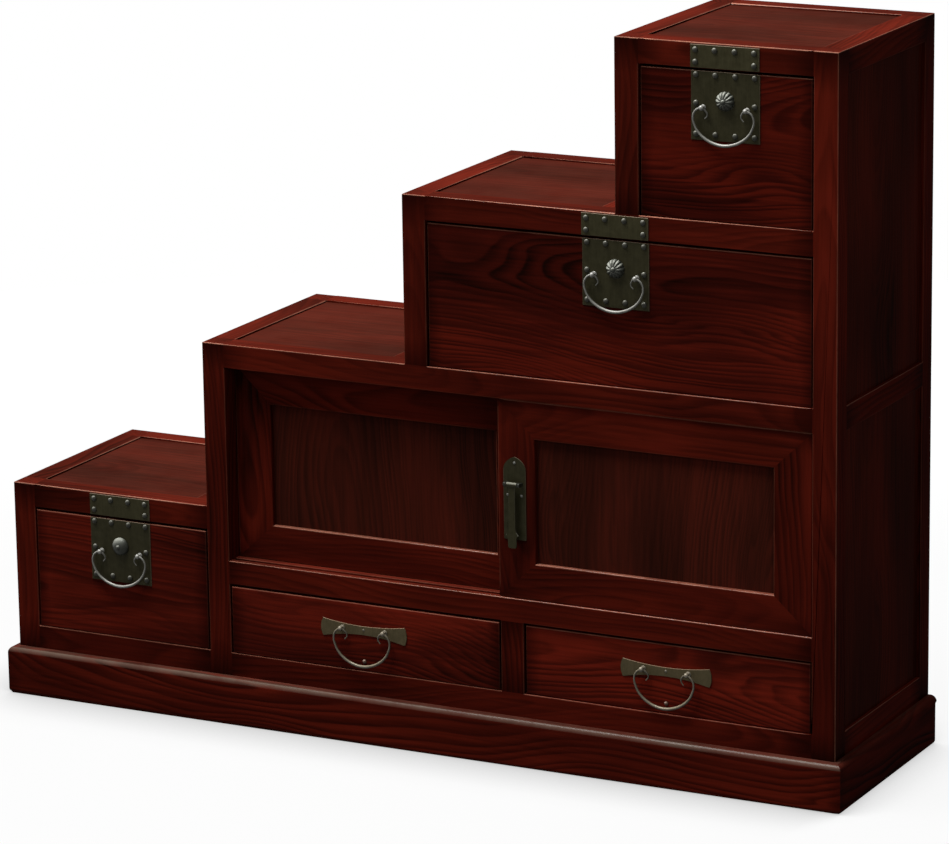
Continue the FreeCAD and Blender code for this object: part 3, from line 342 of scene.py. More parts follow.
def summed(tree, *vectors):
    """Vectors added up."""
    total = vectors[0]
    for vector in vectors[1:]:
        total = vector_maths(tree, "ADD", total, vector)[0]
    return total


def own(tree, name, kind="Fac"):
    """What a mesh says about its own boards or edges."""
    return add(tree, "ShaderNodeAttribute", attribute_name=name).outputs[kind]


def sees_white(tree):
    """Whether a ray comes straight from the camera, or by a mirror or glass."""
    rays = add(tree, "ShaderNodeLightPath").outputs
    return maths(tree, "MAXIMUM", rays["Is Camera Ray"],
                 maths(tree, "MAXIMUM", rays["Is Glossy Ray"], rays["Is Transmission Ray"]))


def make_grain_group():
    """Flat-sawn wood that lies along X: growth rings about a wandering heart, fibres and slow stains."""
    sockets = [("Place", "Vector"), ("Board", "Float"), ("Ring Width", "Float"), ("Ring Depth", "Float"),
               ("Knots", "Float"), ("Dark", "Color"), ("Middle", "Color"), ("Light", "Color")]
    tree, given, made = new_group("wood_grain", sockets,
                                  [("Color", "Color"), ("Roughness", "Float"), ("Height", "Float")])
    local = given["Place"]
    jump = add(tree, "ShaderNodeVectorMath", {0: BOARD_JUMP, "Scale": given["Board"]},
               operation="SCALE").outputs[0]
    place = summed(tree, local, jump)
    side = maths(tree, "MULTIPLY_ADD", given["Board"], HEART_SPREAD, -HEART_SPREAD / 2)
    heart = add(tree, "ShaderNodeCombineXYZ", {"Y": side, "Z": HEART_DEPTH}).outputs[0]
    around = summed(tree, scaled(tree, local, (0.0, 1.0, 1.0)), heart,
                    wandering(tree, place, HEART_STEPS, HEART_WANDER),
                    wandering(tree, place, RING_STEPS, RING_WAVE))
    reach = vector_maths(tree, "LENGTH", around)["Value"]
    count = maths(tree, "DIVIDE", reach, given["Ring Width"])
    slow = maths(tree, "MULTIPLY", count, YEARS_STEP)
    years = add(tree, "ShaderNodeTexNoise", {"W": slow, "Scale": 1.0, "Detail": 1.0},
                noise_dimensions="1D").outputs["Fac"]
    count = maths(tree, "MULTIPLY_ADD", years, RING_CHANGE, count)
    knots = add(tree, "ShaderNodeTexVoronoi", {"Vector": scaled(tree, place, KNOT_STEPS), "Scale": 1.0},
                voronoi_dimensions="2D").outputs["Distance"]
    swell = add(tree, "ShaderNodeMapRange", {"Value": knots, "From Min": KNOT_REACH, "From Max": 0.0},
                interpolation_type="SMOOTHSTEP").outputs[0]
    count = maths(tree, "MULTIPLY_ADD", swell, given["Knots"], count)
    ring = maths(tree, "FRACT", count)
    late = maths(tree, "MULTIPLY", spread(tree, ring, LATE_START, LATE_FULL),
                 spread(tree, ring, LATE_END, 1.0, 1.0, 0.0))
    fade = spread(tree, noise(tree, place, FADE_STEPS), *FADE_SPAN, FAINTEST, 1.0)
    late = maths(tree, "MULTIPLY", maths(tree, "MULTIPLY", late, fade), given["Ring Depth"])
    fibres = spread(tree, noise(tree, place, FIBRE_STEPS, *FINE), *NOISE_SPAN)
    stain = spread(tree, noise(tree, place, STAIN_STEPS, STAIN_DETAIL), *STAIN_SPAN)
    tone = maths(tree, "MULTIPLY_ADD", stain, STAIN_SHARE, BASE_SHARE)
    tone = maths(tree, "MULTIPLY_ADD", fibres, FIBRE_SHARE, tone)
    tone = maths(tree, "SUBTRACT", tone, late)
    shade = mixed(tree, spread(tree, tone, 0.0, MIDDLE_TONE), given["Dark"], given["Middle"])
    shade = mixed(tree, spread(tree, tone, MIDDLE_TONE, LIGHT_TONE), shade, given["Light"])
    tree.links.new(shade, made["Color"])
    tree.links.new(spread(tree, fibres, 0.0, 1.0, *WOOD_ROUGHNESS), made["Roughness"])
    tree.links.new(maths(tree, "SUBTRACT", fibres, late), made["Height"])
    return tree


def make_glaze_group():
    """Darker glaze that was left towards the ends of a board, where it meets its neighbours."""
    sockets = [("Color", "Color"), ("Place", "Vector"), ("Half", "Float"), ("Reach", "Float"),
               ("Depth", "Float")]
    tree, given, made = new_group("joint_glaze", sockets, [("Color", "Color")])
    along = maths(tree, "ABSOLUTE", add(tree, "ShaderNodeSeparateXYZ", {0: given["Place"]}).outputs["X"])
    from_end = maths(tree, "SUBTRACT", given["Half"], along)
    cloud = noise(tree, given["Place"], GLAZE_STEPS)
    change = maths(tree, "MULTIPLY_ADD", cloud, GLAZE_CHANGE, GLAZE_LEAST)
    reach = maths(tree, "MULTIPLY", given["Reach"], change)
    near = maths(tree, "SUBTRACT", 1.0, maths(tree, "DIVIDE", from_end, reach))
    share = maths(tree, "MULTIPLY", spread(tree, near, 0.0, 1.0), given["Depth"])
    tree.links.new(mixed(tree, share, given["Color"], GLAZE_TONE), made["Color"])
    return tree


def make_wear_and_light_group():
    """Up-facing faces painted lighter as light from above; edges rubbed lighter with a painted highlight,
    and tops given a painted sheen, in uneven stretches.
    """
    sockets = [("Color", "Color"), ("Painted Top Light", "Float"), ("Rub And Highlight", "Color"), ("Edge", "Float"),
               ("Vector", "Vector")]
    tree, given, made = new_group("lacquer_wear_and_light", sockets, [("Color", "Color")])
    value = maths(tree, "MULTIPLY_ADD", given["Painted Top Light"], TOP_LIGHTENING, 1.0)
    shade = add(tree, "ShaderNodeHueSaturation", {"Color": given["Color"], "Value": value}).outputs[0]
    patches = spread(tree, noise(tree, given["Vector"], RUB_AND_LIGHT_STEPS, *COARSE), *RUB_AND_LIGHT_SPAN, RUB_AND_LIGHT_LEAST, 1.0)
    share = maths(tree, "MULTIPLY", patches, given["Edge"])
    tree.links.new(mixed(tree, share, shade, given["Rub And Highlight"]), made["Color"])
    return tree


def make_patina_group():
    """Old iron: mottled dark patina with faint draw marks, bright wear, and rubbed edges and painted
    highlights.
    """
    sockets = [("Vector", "Vector"), ("Dark", "Color"), ("Bright", "Color"), ("Wear", "Float"),
               ("Rub And Highlight", "Color"), ("Edge", "Float"), ("Smooth", "Float")]
    tree, given, made = new_group("iron_patina", sockets,
                                  [("Color", "Color"), ("Roughness", "Float"), ("Height", "Float")])
    mottle = spread(tree, noise(tree, given["Vector"], MOTTLE_STEPS, *FINE), *NOISE_SPAN)
    marks = spread(tree, noise(tree, given["Vector"], MARK_STEPS, *COARSE), *NOISE_SPAN)
    pits = noise(tree, given["Vector"], PIT_STEPS, *COARSE)
    worn = maths(tree, "MULTIPLY", marks, 1 - MOTTLE_SHARE)
    worn = maths(tree, "MULTIPLY_ADD", mottle, MOTTLE_SHARE, worn)
    worn = maths(tree, "MULTIPLY", worn, given["Wear"])
    shade = mixed(tree, worn, given["Dark"], given["Bright"])
    tree.links.new(mixed(tree, given["Edge"], shade, given["Rub And Highlight"]), made["Color"])
    rough = spread(tree, mottle, 0.0, 1.0, *IRON_ROUGHNESS)
    tree.links.new(maths(tree, "SUBTRACT", rough, given["Smooth"]), made["Roughness"])
    tree.links.new(maths(tree, "MULTIPLY_ADD", mottle, MOTTLE_SHARE, pits), made["Height"])
    return tree


GRAIN = make_grain_group()
GLAZE = make_glaze_group()
WEAR_AND_LIGHT = make_wear_and_light_group()
PATINA = make_patina_group()


def group(tree, shared, inputs):
    """A shared node group put to use, with its inputs filled or linked."""
    return add(tree, "ShaderNodeGroup", inputs, node_tree=shared).outputs


def start_tree(name):
    """A new material and its tree of nodes."""
    material = bpy.data.materials.new(name)
    material.use_nodes = True
    return material, material.node_tree


def start_material(name):
    """A new material with its tree, its shader and the object's own coordinates."""
    material, tree = start_tree(name)
    shader = tree.nodes["Principled BSDF"]
    place = add(tree, "ShaderNodeTexCoord").outputs["Object"]
    return material, tree, shader, place


def set_bump(tree, shader, height, distance, strength):
    """Fine relief from a height."""
    bump = add(tree, "ShaderNodeBump", {"Height": height, "Distance": distance, "Strength": strength})
    tree.links.new(bump.outputs["Normal"], shader.inputs["Normal"])


def make_wood(name, tones, rings, glaze=(0.0, 0.0), polish=0.0, rub_and_highlight=RUBBED_LIT_LACQUER, coat=COAT):
    """Lacquered or bare wood with its rings, glaze at joints, polished edges, rubbed tone with painted
    highlights and sheen, tops painted lighter, and coat.
    """
    material, tree, shader, place = start_material(name)
    local = own(tree, "grain_place", "Vector")
    edge = own(tree, "rub_and_highlight")
    grain = group(tree, GRAIN, {"Place": local, "Board": own(tree, "board"), "Ring Width": rings[0],
                                "Ring Depth": rings[1], "Knots": rings[2],
                                "Dark": tones[0], "Middle": tones[1], "Light": tones[2]})
    shade = grain["Color"]
    if glaze[1]:
        shade = group(tree, GLAZE, {"Color": shade, "Place": local, "Half": own(tree, "half_length"),
                                    "Reach": glaze[0], "Depth": glaze[1]})["Color"]
    shade = group(tree, WEAR_AND_LIGHT, {"Color": shade, "Painted Top Light": own(tree, "painted_top_light"), "Rub And Highlight": rub_and_highlight,
                               "Edge": edge, "Vector": place})["Color"]
    tree.links.new(shade, shader.inputs["Base Color"])
    tree.links.new(grain["Roughness"], shader.inputs["Roughness"])
    set_bump(tree, shader, grain["Height"], GRAIN_RELIEF, GRAIN_STRENGTH)
    shader.inputs["Specular IOR Level"].default_value = 0.0
    if polish:
        worn_smooth = maths(tree, "POWER", edge, 2.0)
        tree.links.new(maths(tree, "MULTIPLY_ADD", worn_smooth, polish, coat), shader.inputs["Coat Weight"])
    else:
        shader.inputs["Coat Weight"].default_value = coat
    shader.inputs["Coat Roughness"].default_value = COAT_ROUGHNESS
    return material


def make_iron(name, tones, shine, rub_and_highlight):
    """Patinated iron: shine is its bright wear, how bare it is, its patina's gloss and smoothness."""
    material, tree, shader, place = start_material(name)
    wear, bareness, gloss, smoothness = shine
    patina = group(tree, PATINA, {"Vector": place, "Dark": tones[0], "Bright": tones[1], "Wear": wear,
                                  "Rub And Highlight": rub_and_highlight, "Edge": own(tree, "rub_and_highlight"), "Smooth": smoothness})
    tree.links.new(patina["Color"], shader.inputs["Base Color"])
    tree.links.new(patina["Roughness"], shader.inputs["Roughness"])
    set_bump(tree, shader, patina["Height"], IRON_RELIEF, IRON_STRENGTH)
    shader.inputs["Metallic"].default_value = bareness
    shader.inputs["Specular IOR Level"].default_value = gloss
    return material


def toned(tones, share):
    """Tones made lighter or darker by a share."""
    return [colour(*(part * share for part in tone[:3])) for tone in tones]


CASE_TONES = (colour(0.012, 0.0022, 0.0011), colour(0.062, 0.0066, 0.0032), colour(0.115, 0.0112, 0.0052))
TOP_TONES = (colour(0.011, 0.0028, 0.0016), colour(0.052, 0.0078, 0.0044), colour(0.098, 0.0130, 0.0070))
PANEL_TONES = (colour(0.014, 0.0036, 0.0018), colour(0.050, 0.0078, 0.0040), colour(0.092, 0.0115, 0.0056))
DOOR_PANEL_TONES = (colour(0.012, 0.0042, 0.0024), colour(0.043, 0.0086, 0.0050),
                    colour(0.080, 0.0125, 0.0070))
DRAWER_TONES = (colour(0.011, 0.0023, 0.0013), colour(0.062, 0.0067, 0.0036), colour(0.150, 0.0135, 0.0064))
BARE_TONES = (colour(0.30, 0.175, 0.085), colour(0.42, 0.27, 0.145), colour(0.50, 0.34, 0.19))
# rubbed tones: the plinth's greyed into a painted reflection along its rounded and flat top, and bare
# wood's with its painted highlight
PLINTH_RUB_AND_REFLECTION = colour(0.145, 0.098, 0.072)
RUBBED_LIT_BARE = colour(0.46, 0.32, 0.19)

# rings are their width, their depth and how far knots push them; a glaze is its reach and its depth
DRAWER_RINGS = (5.6 * MM, 0.44, 3.0)
DRAWER_GLAZE = (18.0 * MM, 0.6)
PANEL_RINGS = (5.0 * MM, 0.32, 2.0)
CASE_WOOD = make_wood("case_lacquer", CASE_TONES, (6.0 * MM, 0.32, 1.5), (40.0 * MM, 0.80), POLISH)
DOOR_WOOD = make_wood("door_lacquer", toned(CASE_TONES, 1.05), (6.0 * MM, 0.42, 1.5), (24.0 * MM, 0.5),
                      POLISH)
TOP_WOOD = make_wood("top_lacquer", TOP_TONES, (5.0 * MM, 0.16, 1.0), (12.0 * MM, 0.3), POLISH)
PLINTH_WOOD = make_wood("plinth_lacquer", toned(CASE_TONES, 1.15), (9.0 * MM, 0.55, 3.5), (20.0 * MM, 0.4),
                        PLINTH_POLISH, PLINTH_RUB_AND_REFLECTION)
PANEL_WOOD = make_wood("panel_lacquer", PANEL_TONES, PANEL_RINGS)
DOOR_PANEL_WOOD = make_wood("door_panel_lacquer", DOOR_PANEL_TONES, PANEL_RINGS)
DRAWER_WOOD = make_wood("drawer_lacquer", toned(DRAWER_TONES, 0.88), DRAWER_RINGS, DRAWER_GLAZE, POLISH / 2)
TOP_DRAWER_WOOD = make_wood("top_drawer_lacquer", toned(DRAWER_TONES, 0.64), DRAWER_RINGS, DRAWER_GLAZE,
                            POLISH / 2)
LOWER_DRAWER_WOOD = make_wood("small_drawer_lacquer", toned(DRAWER_TONES, 1.15), (5.6 * MM, 0.44, 2.5),
                              DRAWER_GLAZE, POLISH / 2)
BARE_WOOD = make_wood("bare_wood", BARE_TONES, (7.0 * MM, 0.5, 2.0), rub_and_highlight=RUBBED_LIT_BARE, coat=0.0)

PLATE_TONES = (colour(0.018, 0.016, 0.0070), colour(0.042, 0.038, 0.0190))
SMALL_PLATE_TONES = (colour(0.064, 0.052, 0.026), colour(0.118, 0.092, 0.050))
STUD_TONES = (colour(0.014, 0.014, 0.009), colour(0.042, 0.041, 0.032))
POST_TONES = (colour(0.080, 0.078, 0.066), colour(0.21, 0.205, 0.18))
WIRE_TONES = (colour(0.042, 0.041, 0.032), colour(0.125, 0.121, 0.102))
SMALL_POST_TONES = (colour(0.065, 0.055, 0.038), colour(0.17, 0.145, 0.10))
SMALL_WIRE_TONES = (colour(0.034, 0.029, 0.018), colour(0.092, 0.077, 0.050))
REST_STUD_TONES = (colour(0.050, 0.022, 0.014), colour(0.12, 0.062, 0.040))
BOSS_TONES = (colour(0.013, 0.014, 0.010), colour(0.042, 0.044, 0.035))
RUBBED_LIT_PLATE = colour(0.34, 0.25, 0.18)

PLATE_SHINE = (0.8, 0.05, 0.05, 0.0)
POST_SHINE = (0.7, 0.10, 0.30, 0.16)
WIRE_SHINE = (0.8, 0.10, 0.30, 0.16)
STUD_SHINE = (0.7, 0.08, 0.12, 0.14)
REST_STUD_SHINE = (0.7, 0.08, 0.30, 0.14)
BOSS_SHINE = (0.8, 0.05, 0.12, 0.08)

# each iron's last colour is its painted highlight, where the metal faces the overhead lamp; on plates and
# the strap it also marks rubbed edges
PLATE_IRON = make_iron("plate_iron", PLATE_TONES, PLATE_SHINE, RUBBED_LIT_PLATE)
RAIL_PLATE_IRON = make_iron("rail_plate_iron", toned(PLATE_TONES, 1.3), PLATE_SHINE, RUBBED_LIT_PLATE)
SMALL_PLATE_IRON = make_iron("small_plate_iron", SMALL_PLATE_TONES, PLATE_SHINE, colour(0.48, 0.32, 0.21))
STRAP_IRON = make_iron("strap_iron", toned(PLATE_TONES, 1.15), PLATE_SHINE, colour(0.30, 0.295, 0.24))
STUD_IRON = make_iron("stud_iron", STUD_TONES, STUD_SHINE, colour(0.44, 0.435, 0.37))
POST_IRON = make_iron("post_iron", POST_TONES, POST_SHINE, colour(0.62, 0.61, 0.57))
WIRE_IRON = make_iron("wire_iron", WIRE_TONES, WIRE_SHINE, colour(0.56, 0.55, 0.50))
SMALL_POST_IRON = make_iron("small_post_iron", SMALL_POST_TONES, POST_SHINE, colour(0.46, 0.40, 0.30))
SMALL_WIRE_IRON = make_iron("small_wire_iron", SMALL_WIRE_TONES, WIRE_SHINE, colour(0.38, 0.325, 0.225))
REST_STUD_IRON = make_iron("rest_stud_iron", REST_STUD_TONES, REST_STUD_SHINE, colour(0.55, 0.40, 0.31))
BOSS_IRON = make_iron("boss_iron", BOSS_TONES, BOSS_SHINE, colour(0.44, 0.45, 0.39))


def body_of(node):
    """The body that a CAD node rides on."""
    return frame["nodes"][node]["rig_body"]


def placed(name, data):
    """A new object in the scene with this shape, lamp or lens."""
    thing = bpy.data.objects.new(name, data)
    bpy.context.scene.collection.objects.link(thing)
    return thing


def finish_piece(name, mesh, material, body):
    """A bmesh made into a shown piece that rides on a body, with even shading."""
    data = bpy.data.meshes.new(name)
    mesh.to_mesh(data)
    mesh.free()
    data.materials.append(material)
    data.shade_smooth()
    data.set_sharp_from_angle(angle=SHARP_ANGLE)
    piece = placed(name, data)
    even = piece.modifiers.new("even_shading", "WEIGHTED_NORMAL")
    even.keep_sharp = True
    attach(piece, body)
    return piece


def closed_solids(data):
    """The triangles of each closed solid of a CAD mesh, in which one solid follows another."""
    data.calc_loop_triangles()
    spots = [tuple(round(part / WELD) for part in vert.co) for vert in data.vertices]
    solids = []
    solid = []
    unmatched = Counter()
    for triangle in data.loop_triangles:
        corners = [spots[number] for number in triangle.vertices]
        solid.append(corners)
        for start, end in zip(corners, corners[1:] + corners[:1]):
            if start == end:
                continue
            if unmatched[end, start] > 1:
                unmatched[end, start] -= 1
            elif unmatched[end, start]:
                del unmatched[end, start]
            else:
                unmatched[start, end] += 1
        if not unmatched:
            solids.append(solid)
            solid = []
    return solids + [solid] if solid else solids


def copied_solids(node):
    """A copy of a CAD node's solids with their triangles joined into flat faces, numbered by solid."""
    mesh = bmesh.new()
    number_of = mesh.faces.layers.int.new("number")
    for number, solid in enumerate(closed_solids(frame["nodes"][node].data)):
        verts = {}
        for corners in solid:
            if len(set(corners)) < 3:
                continue
            for corner in corners:
                if corner not in verts:
                    verts[corner] = mesh.verts.new([part * WELD for part in corner])
            mesh.faces.new([verts[corner] for corner in corners])[number_of] = number
    bmesh.ops.dissolve_limit(mesh, angle_limit=FLAT_ANGLE, verts=mesh.verts[:], edges=mesh.edges[:])
    return mesh, number_of


def faces_of_solids(mesh, number_of):
    """The faces of each numbered solid."""
    solids = {}
    for face in mesh.faces:
        solids.setdefault(face[number_of], []).append(face)
    return solids


def extent(faces):
    """The lowest and highest corners of some faces."""
    points = [vert.co for face in faces for vert in face.verts]
    low = Vector(min(point[axis] for point in points) for axis in range(3))
    high = Vector(max(point[axis] for point in points) for axis in range(3))
    return low, high


def is_arris(edge):
    """Whether an edge is a long outer corner."""
    return (edge.is_manifold and edge.is_convex and edge.calc_length() > SHORT_EDGE
            and edge.calc_face_angle() > SHARP_ANGLE)


def survey_case():
    """All CAD surfaces in one search tree, and the node and solid that each triangle belongs to."""
    points = []
    triangles = []
    owners = []
    for name, node in frame["nodes"].items():
        for number, solid in enumerate(closed_solids(node.data)):
            for corners in solid:
                triangles.append(range(len(points), len(points) + 3))
                points += [[part * WELD for part in corner] for corner in corners]
                owners.append((name, number))
    return BVHTree.FromPolygons(points, triangles), owners


surroundings, surface_owners = survey_case()


def is_free(owner, point):
    """Whether nothing but a solid itself touches its surface at a point."""
    near = surroundings.find_nearest_range(point, TOUCH)
    return all(surface_owners[hit[2]] == owner for hit in near)


def is_open(owner, edge, share):
    """Whether both faces beside an edge are free of other pieces, at a share of its length."""
    spot = edge.verts[0].co.lerp(edge.verts[1].co, share)
    run = (edge.verts[1].co - edge.verts[0].co).normalized()
    for face in edge.link_faces:
        inward = face.normal.cross(run)
        if inward.dot(face.calc_center_median() - spot) < 0:
            inward.negate()
        if not is_free(owner, spot + inward * LOOK_IN):
            return False
    return True


def open_parts(owner, edge):
    """The parts of an edge that no other piece touches, cut free of the touched parts."""
    steps = max(2, math.ceil(edge.calc_length() / LOOK_STEP))
    shares = [(step + 0.5) / steps for step in range(steps)]
    states = [is_open(owner, edge, share) for share in shares]
    cuts = []
    for low, high, before, after in zip(shares, shares[1:], states, states[1:]):
        if before != after:
            for _ in range(HALVINGS):
                middle = (low + high) / 2
                if is_open(owner, edge, middle) == before:
                    low = middle
                else:
                    high = middle
            cuts.append(low if before else high)
    parts = []
    state = states[0]
    start = edge.verts[0]
    rest = edge
    done = 0.0
    for cut in cuts:
        head, vert = bmesh.utils.edge_split(rest, start, (cut - done) / (1 - done))
        if state:
            parts.append(head)
        rest = next(other for other in vert.link_edges if other is not head)
        start, done, state = vert, cut, not state
    if state:
        parts.append(rest)
    return parts


def rub_and_highlight_share(normal, corner):
    """How rubbed an eased edge is, with its painted highlight: most where it faces up and forward towards
    the overhead lamp, hardly below or behind.
    """
    if normal.z > TILTED:
        side = RUB_AND_LIGHT_TOP_RIGHT if normal.x > TILTED else RUB_AND_LIGHT_TOP_BACK
        return min(1.0, RUB_AND_LIGHT_GAIN * normal.z) * (1.0 if normal.y < -TILTED else side)
    if abs(normal.z) > TILTED or normal.y > -FORWARD:
        return RUB_AND_LIGHT_HIDDEN
    return RUB_AND_LIGHT_LEFT if normal.x < 0 else corner


def soften(mesh, edges, ease, segments=2):
    """Edges eased off by a small round."""
    bmesh.ops.bevel(mesh, geom=edges, offset=ease, offset_type="OFFSET", affect="EDGES", segments=segments,
                    profile=0.5, material=-1, clamp_overlap=True)


board_count = 0


def dress_boards(node, wood, ease=EASE, grain=None, rub_and_highlight_amount=1.0, painted_top_sheen=0.0, top_lightening_share=0.0, corner=0.08,
                 segments=2):
    """Boards with eased edges in place of a CAD node's, each with its own grain along its length."""
    global board_count
    mesh, number_of = copied_solids(node)
    frames = {}
    for number, solid in faces_of_solids(mesh, number_of).items():
        low, high = extent(solid)
        spans = high - low
        order = sorted(range(3), key=lambda axis: -spans[axis])
        if grain:
            along = AXES.index(grain)
            order = [along] + [axis for axis in order if axis != along]
        frames[number] = (low + high) / 2, order, spans[order[0]] / 2, low.y
    if ease:
        chosen = []
        for edge in [edge for edge in mesh.edges if is_arris(edge)]:
            chosen += open_parts((node, edge.link_faces[0][number_of]), edge)
        soften(mesh, chosen, ease, segments)
    board, half, rub_and_highlight, painted_top_light = (mesh.faces.layers.float.new(label)
                                  for label in ("board", "half_length", "rub_and_highlight", "painted_top_light"))
    place = mesh.loops.layers.float_vector.new("grain_place")
    for face in mesh.faces:
        centre, order, half_length, front = frames[face[number_of]]
        is_top = face.normal.z > UPWARD
        face[board] = (board_count + face[number_of]) * BOARD_STEP % 1.0
        face[half] = half_length + (UNGLAZED if is_top else 0.0)
        # eased edges: rubbed tone with a painted highlight, by where they face, dimmed as painted shade
        # where set back
        if max(abs(part) for part in face.normal) < SQUARE:
            set_back = face.normal.y < -TILTED and face.calc_center_median().y > front + SET_BACK
            share = rub_and_highlight_amount * rub_and_highlight_share(face.normal, corner)
            face[rub_and_highlight] = share * (RUB_AND_LIGHT_SET_BACK if set_back else 1.0)
        # flat up-facing faces: a painted sheen in the rubbed tone, and painted lighter as light from above
        elif is_top:
            face[rub_and_highlight] = painted_top_sheen
            face[painted_top_light] = top_lightening_share
        for loop in face.loops:
            offset = loop.vert.co - centre
            loop[place] = Vector(offset[axis] for axis in order)
    board_count += len(frames)
    piece = finish_piece(f"{node}_dressed", mesh, wood, body_of(node))
    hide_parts(node)
    return piece


def lacquer_feet(data):
    """The strips of the dust boards that show at the feet of the upper risers, lacquered like the case."""
    data.materials.append(CASE_WOOD)
    mesh = bmesh.new()
    mesh.from_mesh(data)
    risers = [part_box(f"{level}_front_post")[0] for level in ("upper", "top")]
    for riser in risers:
        bmesh.ops.bisect_plane(mesh, geom=mesh.verts[:] + mesh.edges[:] + mesh.faces[:], dist=WELD,
                               plane_co=riser, plane_no=(1, 0, 0))
    for face in mesh.faces:
        centre = face.calc_center_median()
        face.material_index = int(any(centre.x < riser.x and abs(centre.z - riser.z) < BOARD_REACH
                                      for riser in risers))
    mesh.to_mesh(data)
    mesh.free()


def dress_case():
    """The case: plinth, posts, rails and panels."""
    # the plinth's rounded top edge and flat top get a painted reflection
    for node, rub_and_highlight_amount in (("plinth_front", 0.9), ("plinth_sides", 0.25), ("plinth_back", 0.25)):
        dress_boards(node, PLINTH_WOOD, PLINTH_EASE, rub_and_highlight_amount=rub_and_highlight_amount, painted_top_sheen=0.25, corner=0.25,
                     segments=5)
    for node in ("low_front_post", "cabinet_front_post", "upper_front_post", "top_front_post", "rear_posts",
                 "small_drawer_divider", "low_step_rail", "door_head", "third_step_rail",
                 "top_step_rail", "rear_rails", "side_rails", "head_track"):
        dress_boards(node, CASE_WOOD, painted_top_sheen=0.01, top_lightening_share=1.0)
    dress_boards("right_front_post", CASE_WOOD, painted_top_sheen=0.01, top_lightening_share=1.0, corner=0.2)
    dress_boards("base_rails", CASE_WOOD, rub_and_highlight_amount=0.5)
    dress_boards("door_sill", CASE_WOOD, painted_top_sheen=0.04, top_lightening_share=1.0)
    dress_boards("step_tops", TOP_WOOD, EASE / 2, "x", rub_and_highlight_amount=0.6, painted_top_sheen=0.03)
    for node in ("side_panels", "riser_panels", "back_panels"):
        dress_boards(node, PANEL_WOOD, EASE / 2, "z", rub_and_highlight_amount=0.6)
    dress_boards("drawer_guides", BARE_WOOD, EASE / 2)
    lacquer_feet(dress_boards("dust_boards", BARE_WOOD, EASE / 2).data)


def dress_drawers():
    """The drawers' lacquered fronts and bare boxes."""
    woods = {"upper": DRAWER_WOOD, "top": TOP_DRAWER_WOOD}
    for name in LARGE_DRAWERS + SMALL_DRAWERS:
        wood = woods.get(name, LOWER_DRAWER_WOOD)
        dress_boards(f"{name}_drawer_front", wood, DRAWER_EASE, "x", rub_and_highlight_amount=0.5)
        dress_boards(f"{name}_drawer_box", BARE_WOOD, EASE)


def dress_doors():
    """The sliding doors' mitred frames and their panels."""
    for name in ("front", "rear"):
        # the door frames' upward ledges get a painted highlight
        dress_boards(f"{name}_door_frame", DOOR_WOOD, DOOR_EASE, painted_top_sheen=0.4, corner=0.0)
        dress_boards(f"{name}_door_panel", DOOR_PANEL_WOOD, 0, "z")


def spin_about(mesh, outline, centre, steps):
    """A round form about a front-to-back line, from radii and how far each stands out from the centre."""
    verts = [mesh.verts.new(centre + Vector((radius, -out, 0))) for radius, out in outline]
    edges = [mesh.edges.new(pair) for pair in zip(verts, verts[1:])]
    bmesh.ops.spin(mesh, geom=verts + edges, cent=centre, axis=(0, 1, 0), dvec=(0, 0, 0),
                   angle=2 * math.pi, steps=steps, use_merge=True)


def tidy(mesh):
    """Close seams and poles and turn the faces outwards."""
    bmesh.ops.remove_doubles(mesh, verts=mesh.verts[:], dist=WELD)
    bmesh.ops.dissolve_degenerate(mesh, dist=WELD, edges=mesh.edges[:])
    bmesh.ops.recalc_face_normals(mesh, faces=mesh.faces[:])


def paint_lit_side(mesh, narrowness=3):
    """Metal painted bright where it faces up, forward and left, towards the overhead lamp: a painted
    highlight, with painted shade on the side away; more narrowness makes a smaller spot.
    """
    mesh.normal_update()
    rub_and_highlight = mesh.faces.layers.float.new("rub_and_highlight")
    for face in mesh.faces:
        face[rub_and_highlight] = max(0.0, face.normal.dot(PAINTED_LIGHT_FROM)) ** narrowness


def dome_outline(radius, height, rings=5):
    """A low dome with a small upright rim, from the rim's foot to the top."""
    rim = DOME_RIM * height
    curve = [(radius * math.cos(turn), rim + (height - rim) * math.sin(turn))
             for turn in (math.pi / 2 * step / rings for step in range(rings + 1))]
    return [(0.0, 0.0), (radius, 0.0)] + curve[:-1] + [(0.0, height)]


def make_domes(name, spots, radius, height, body, material):
    """Dome nails at several spots of a face."""
    mesh = bmesh.new()
    for spot in spots:
        spin_about(mesh, dome_outline(radius, height), spot, DOME_STEPS)
    tidy(mesh)
    paint_lit_side(mesh, DOME_HIGHLIGHT_NARROWNESS)
    return finish_piece(name, mesh, material, body)


def nail_spots(middle, face, top, rows):
    """Places of nails in rows below a plate's top edge; a middle row has only its outer pair."""
    spots = []
    for number, drop in enumerate(rows):
        inner = number == 0 or (number == len(rows) - 1 and len(rows) > 2)
        for offset in (-NAIL_OUTER, -NAIL_INNER, NAIL_INNER, NAIL_OUTER):
            if inner or abs(offset) == NAIL_OUTER:
                spots.append(Vector((middle + offset, face, top - drop)))
    return spots


POST_OUTLINE_MM = ((0.0, 0.0), (3.3, 0.0), (3.3, 0.4), (2.9, 0.8), (1.9, 1.1), (1.7, 1.8), (1.8, 2.9),
                   (2.5, 3.6), (3.0, 4.6), (3.15, 5.6), (3.0, 6.6), (2.5, 7.5), (1.6, 8.2), (0.7, 8.5),
                   (0.0, 8.6))


def make_posts(name, middle, face, height, spacing, body, iron):
    """The two round-headed posts that hold a drop handle."""
    mesh = bmesh.new()
    outline = [(radius * MM, out * MM) for radius, out in POST_OUTLINE_MM]
    for side in (-0.5, 0.5):
        spin_about(mesh, outline, Vector((middle + side * spacing, face, height)), POST_STEPS)
    tidy(mesh)
    paint_lit_side(mesh)
    finish_piece(name, mesh, iron, body)


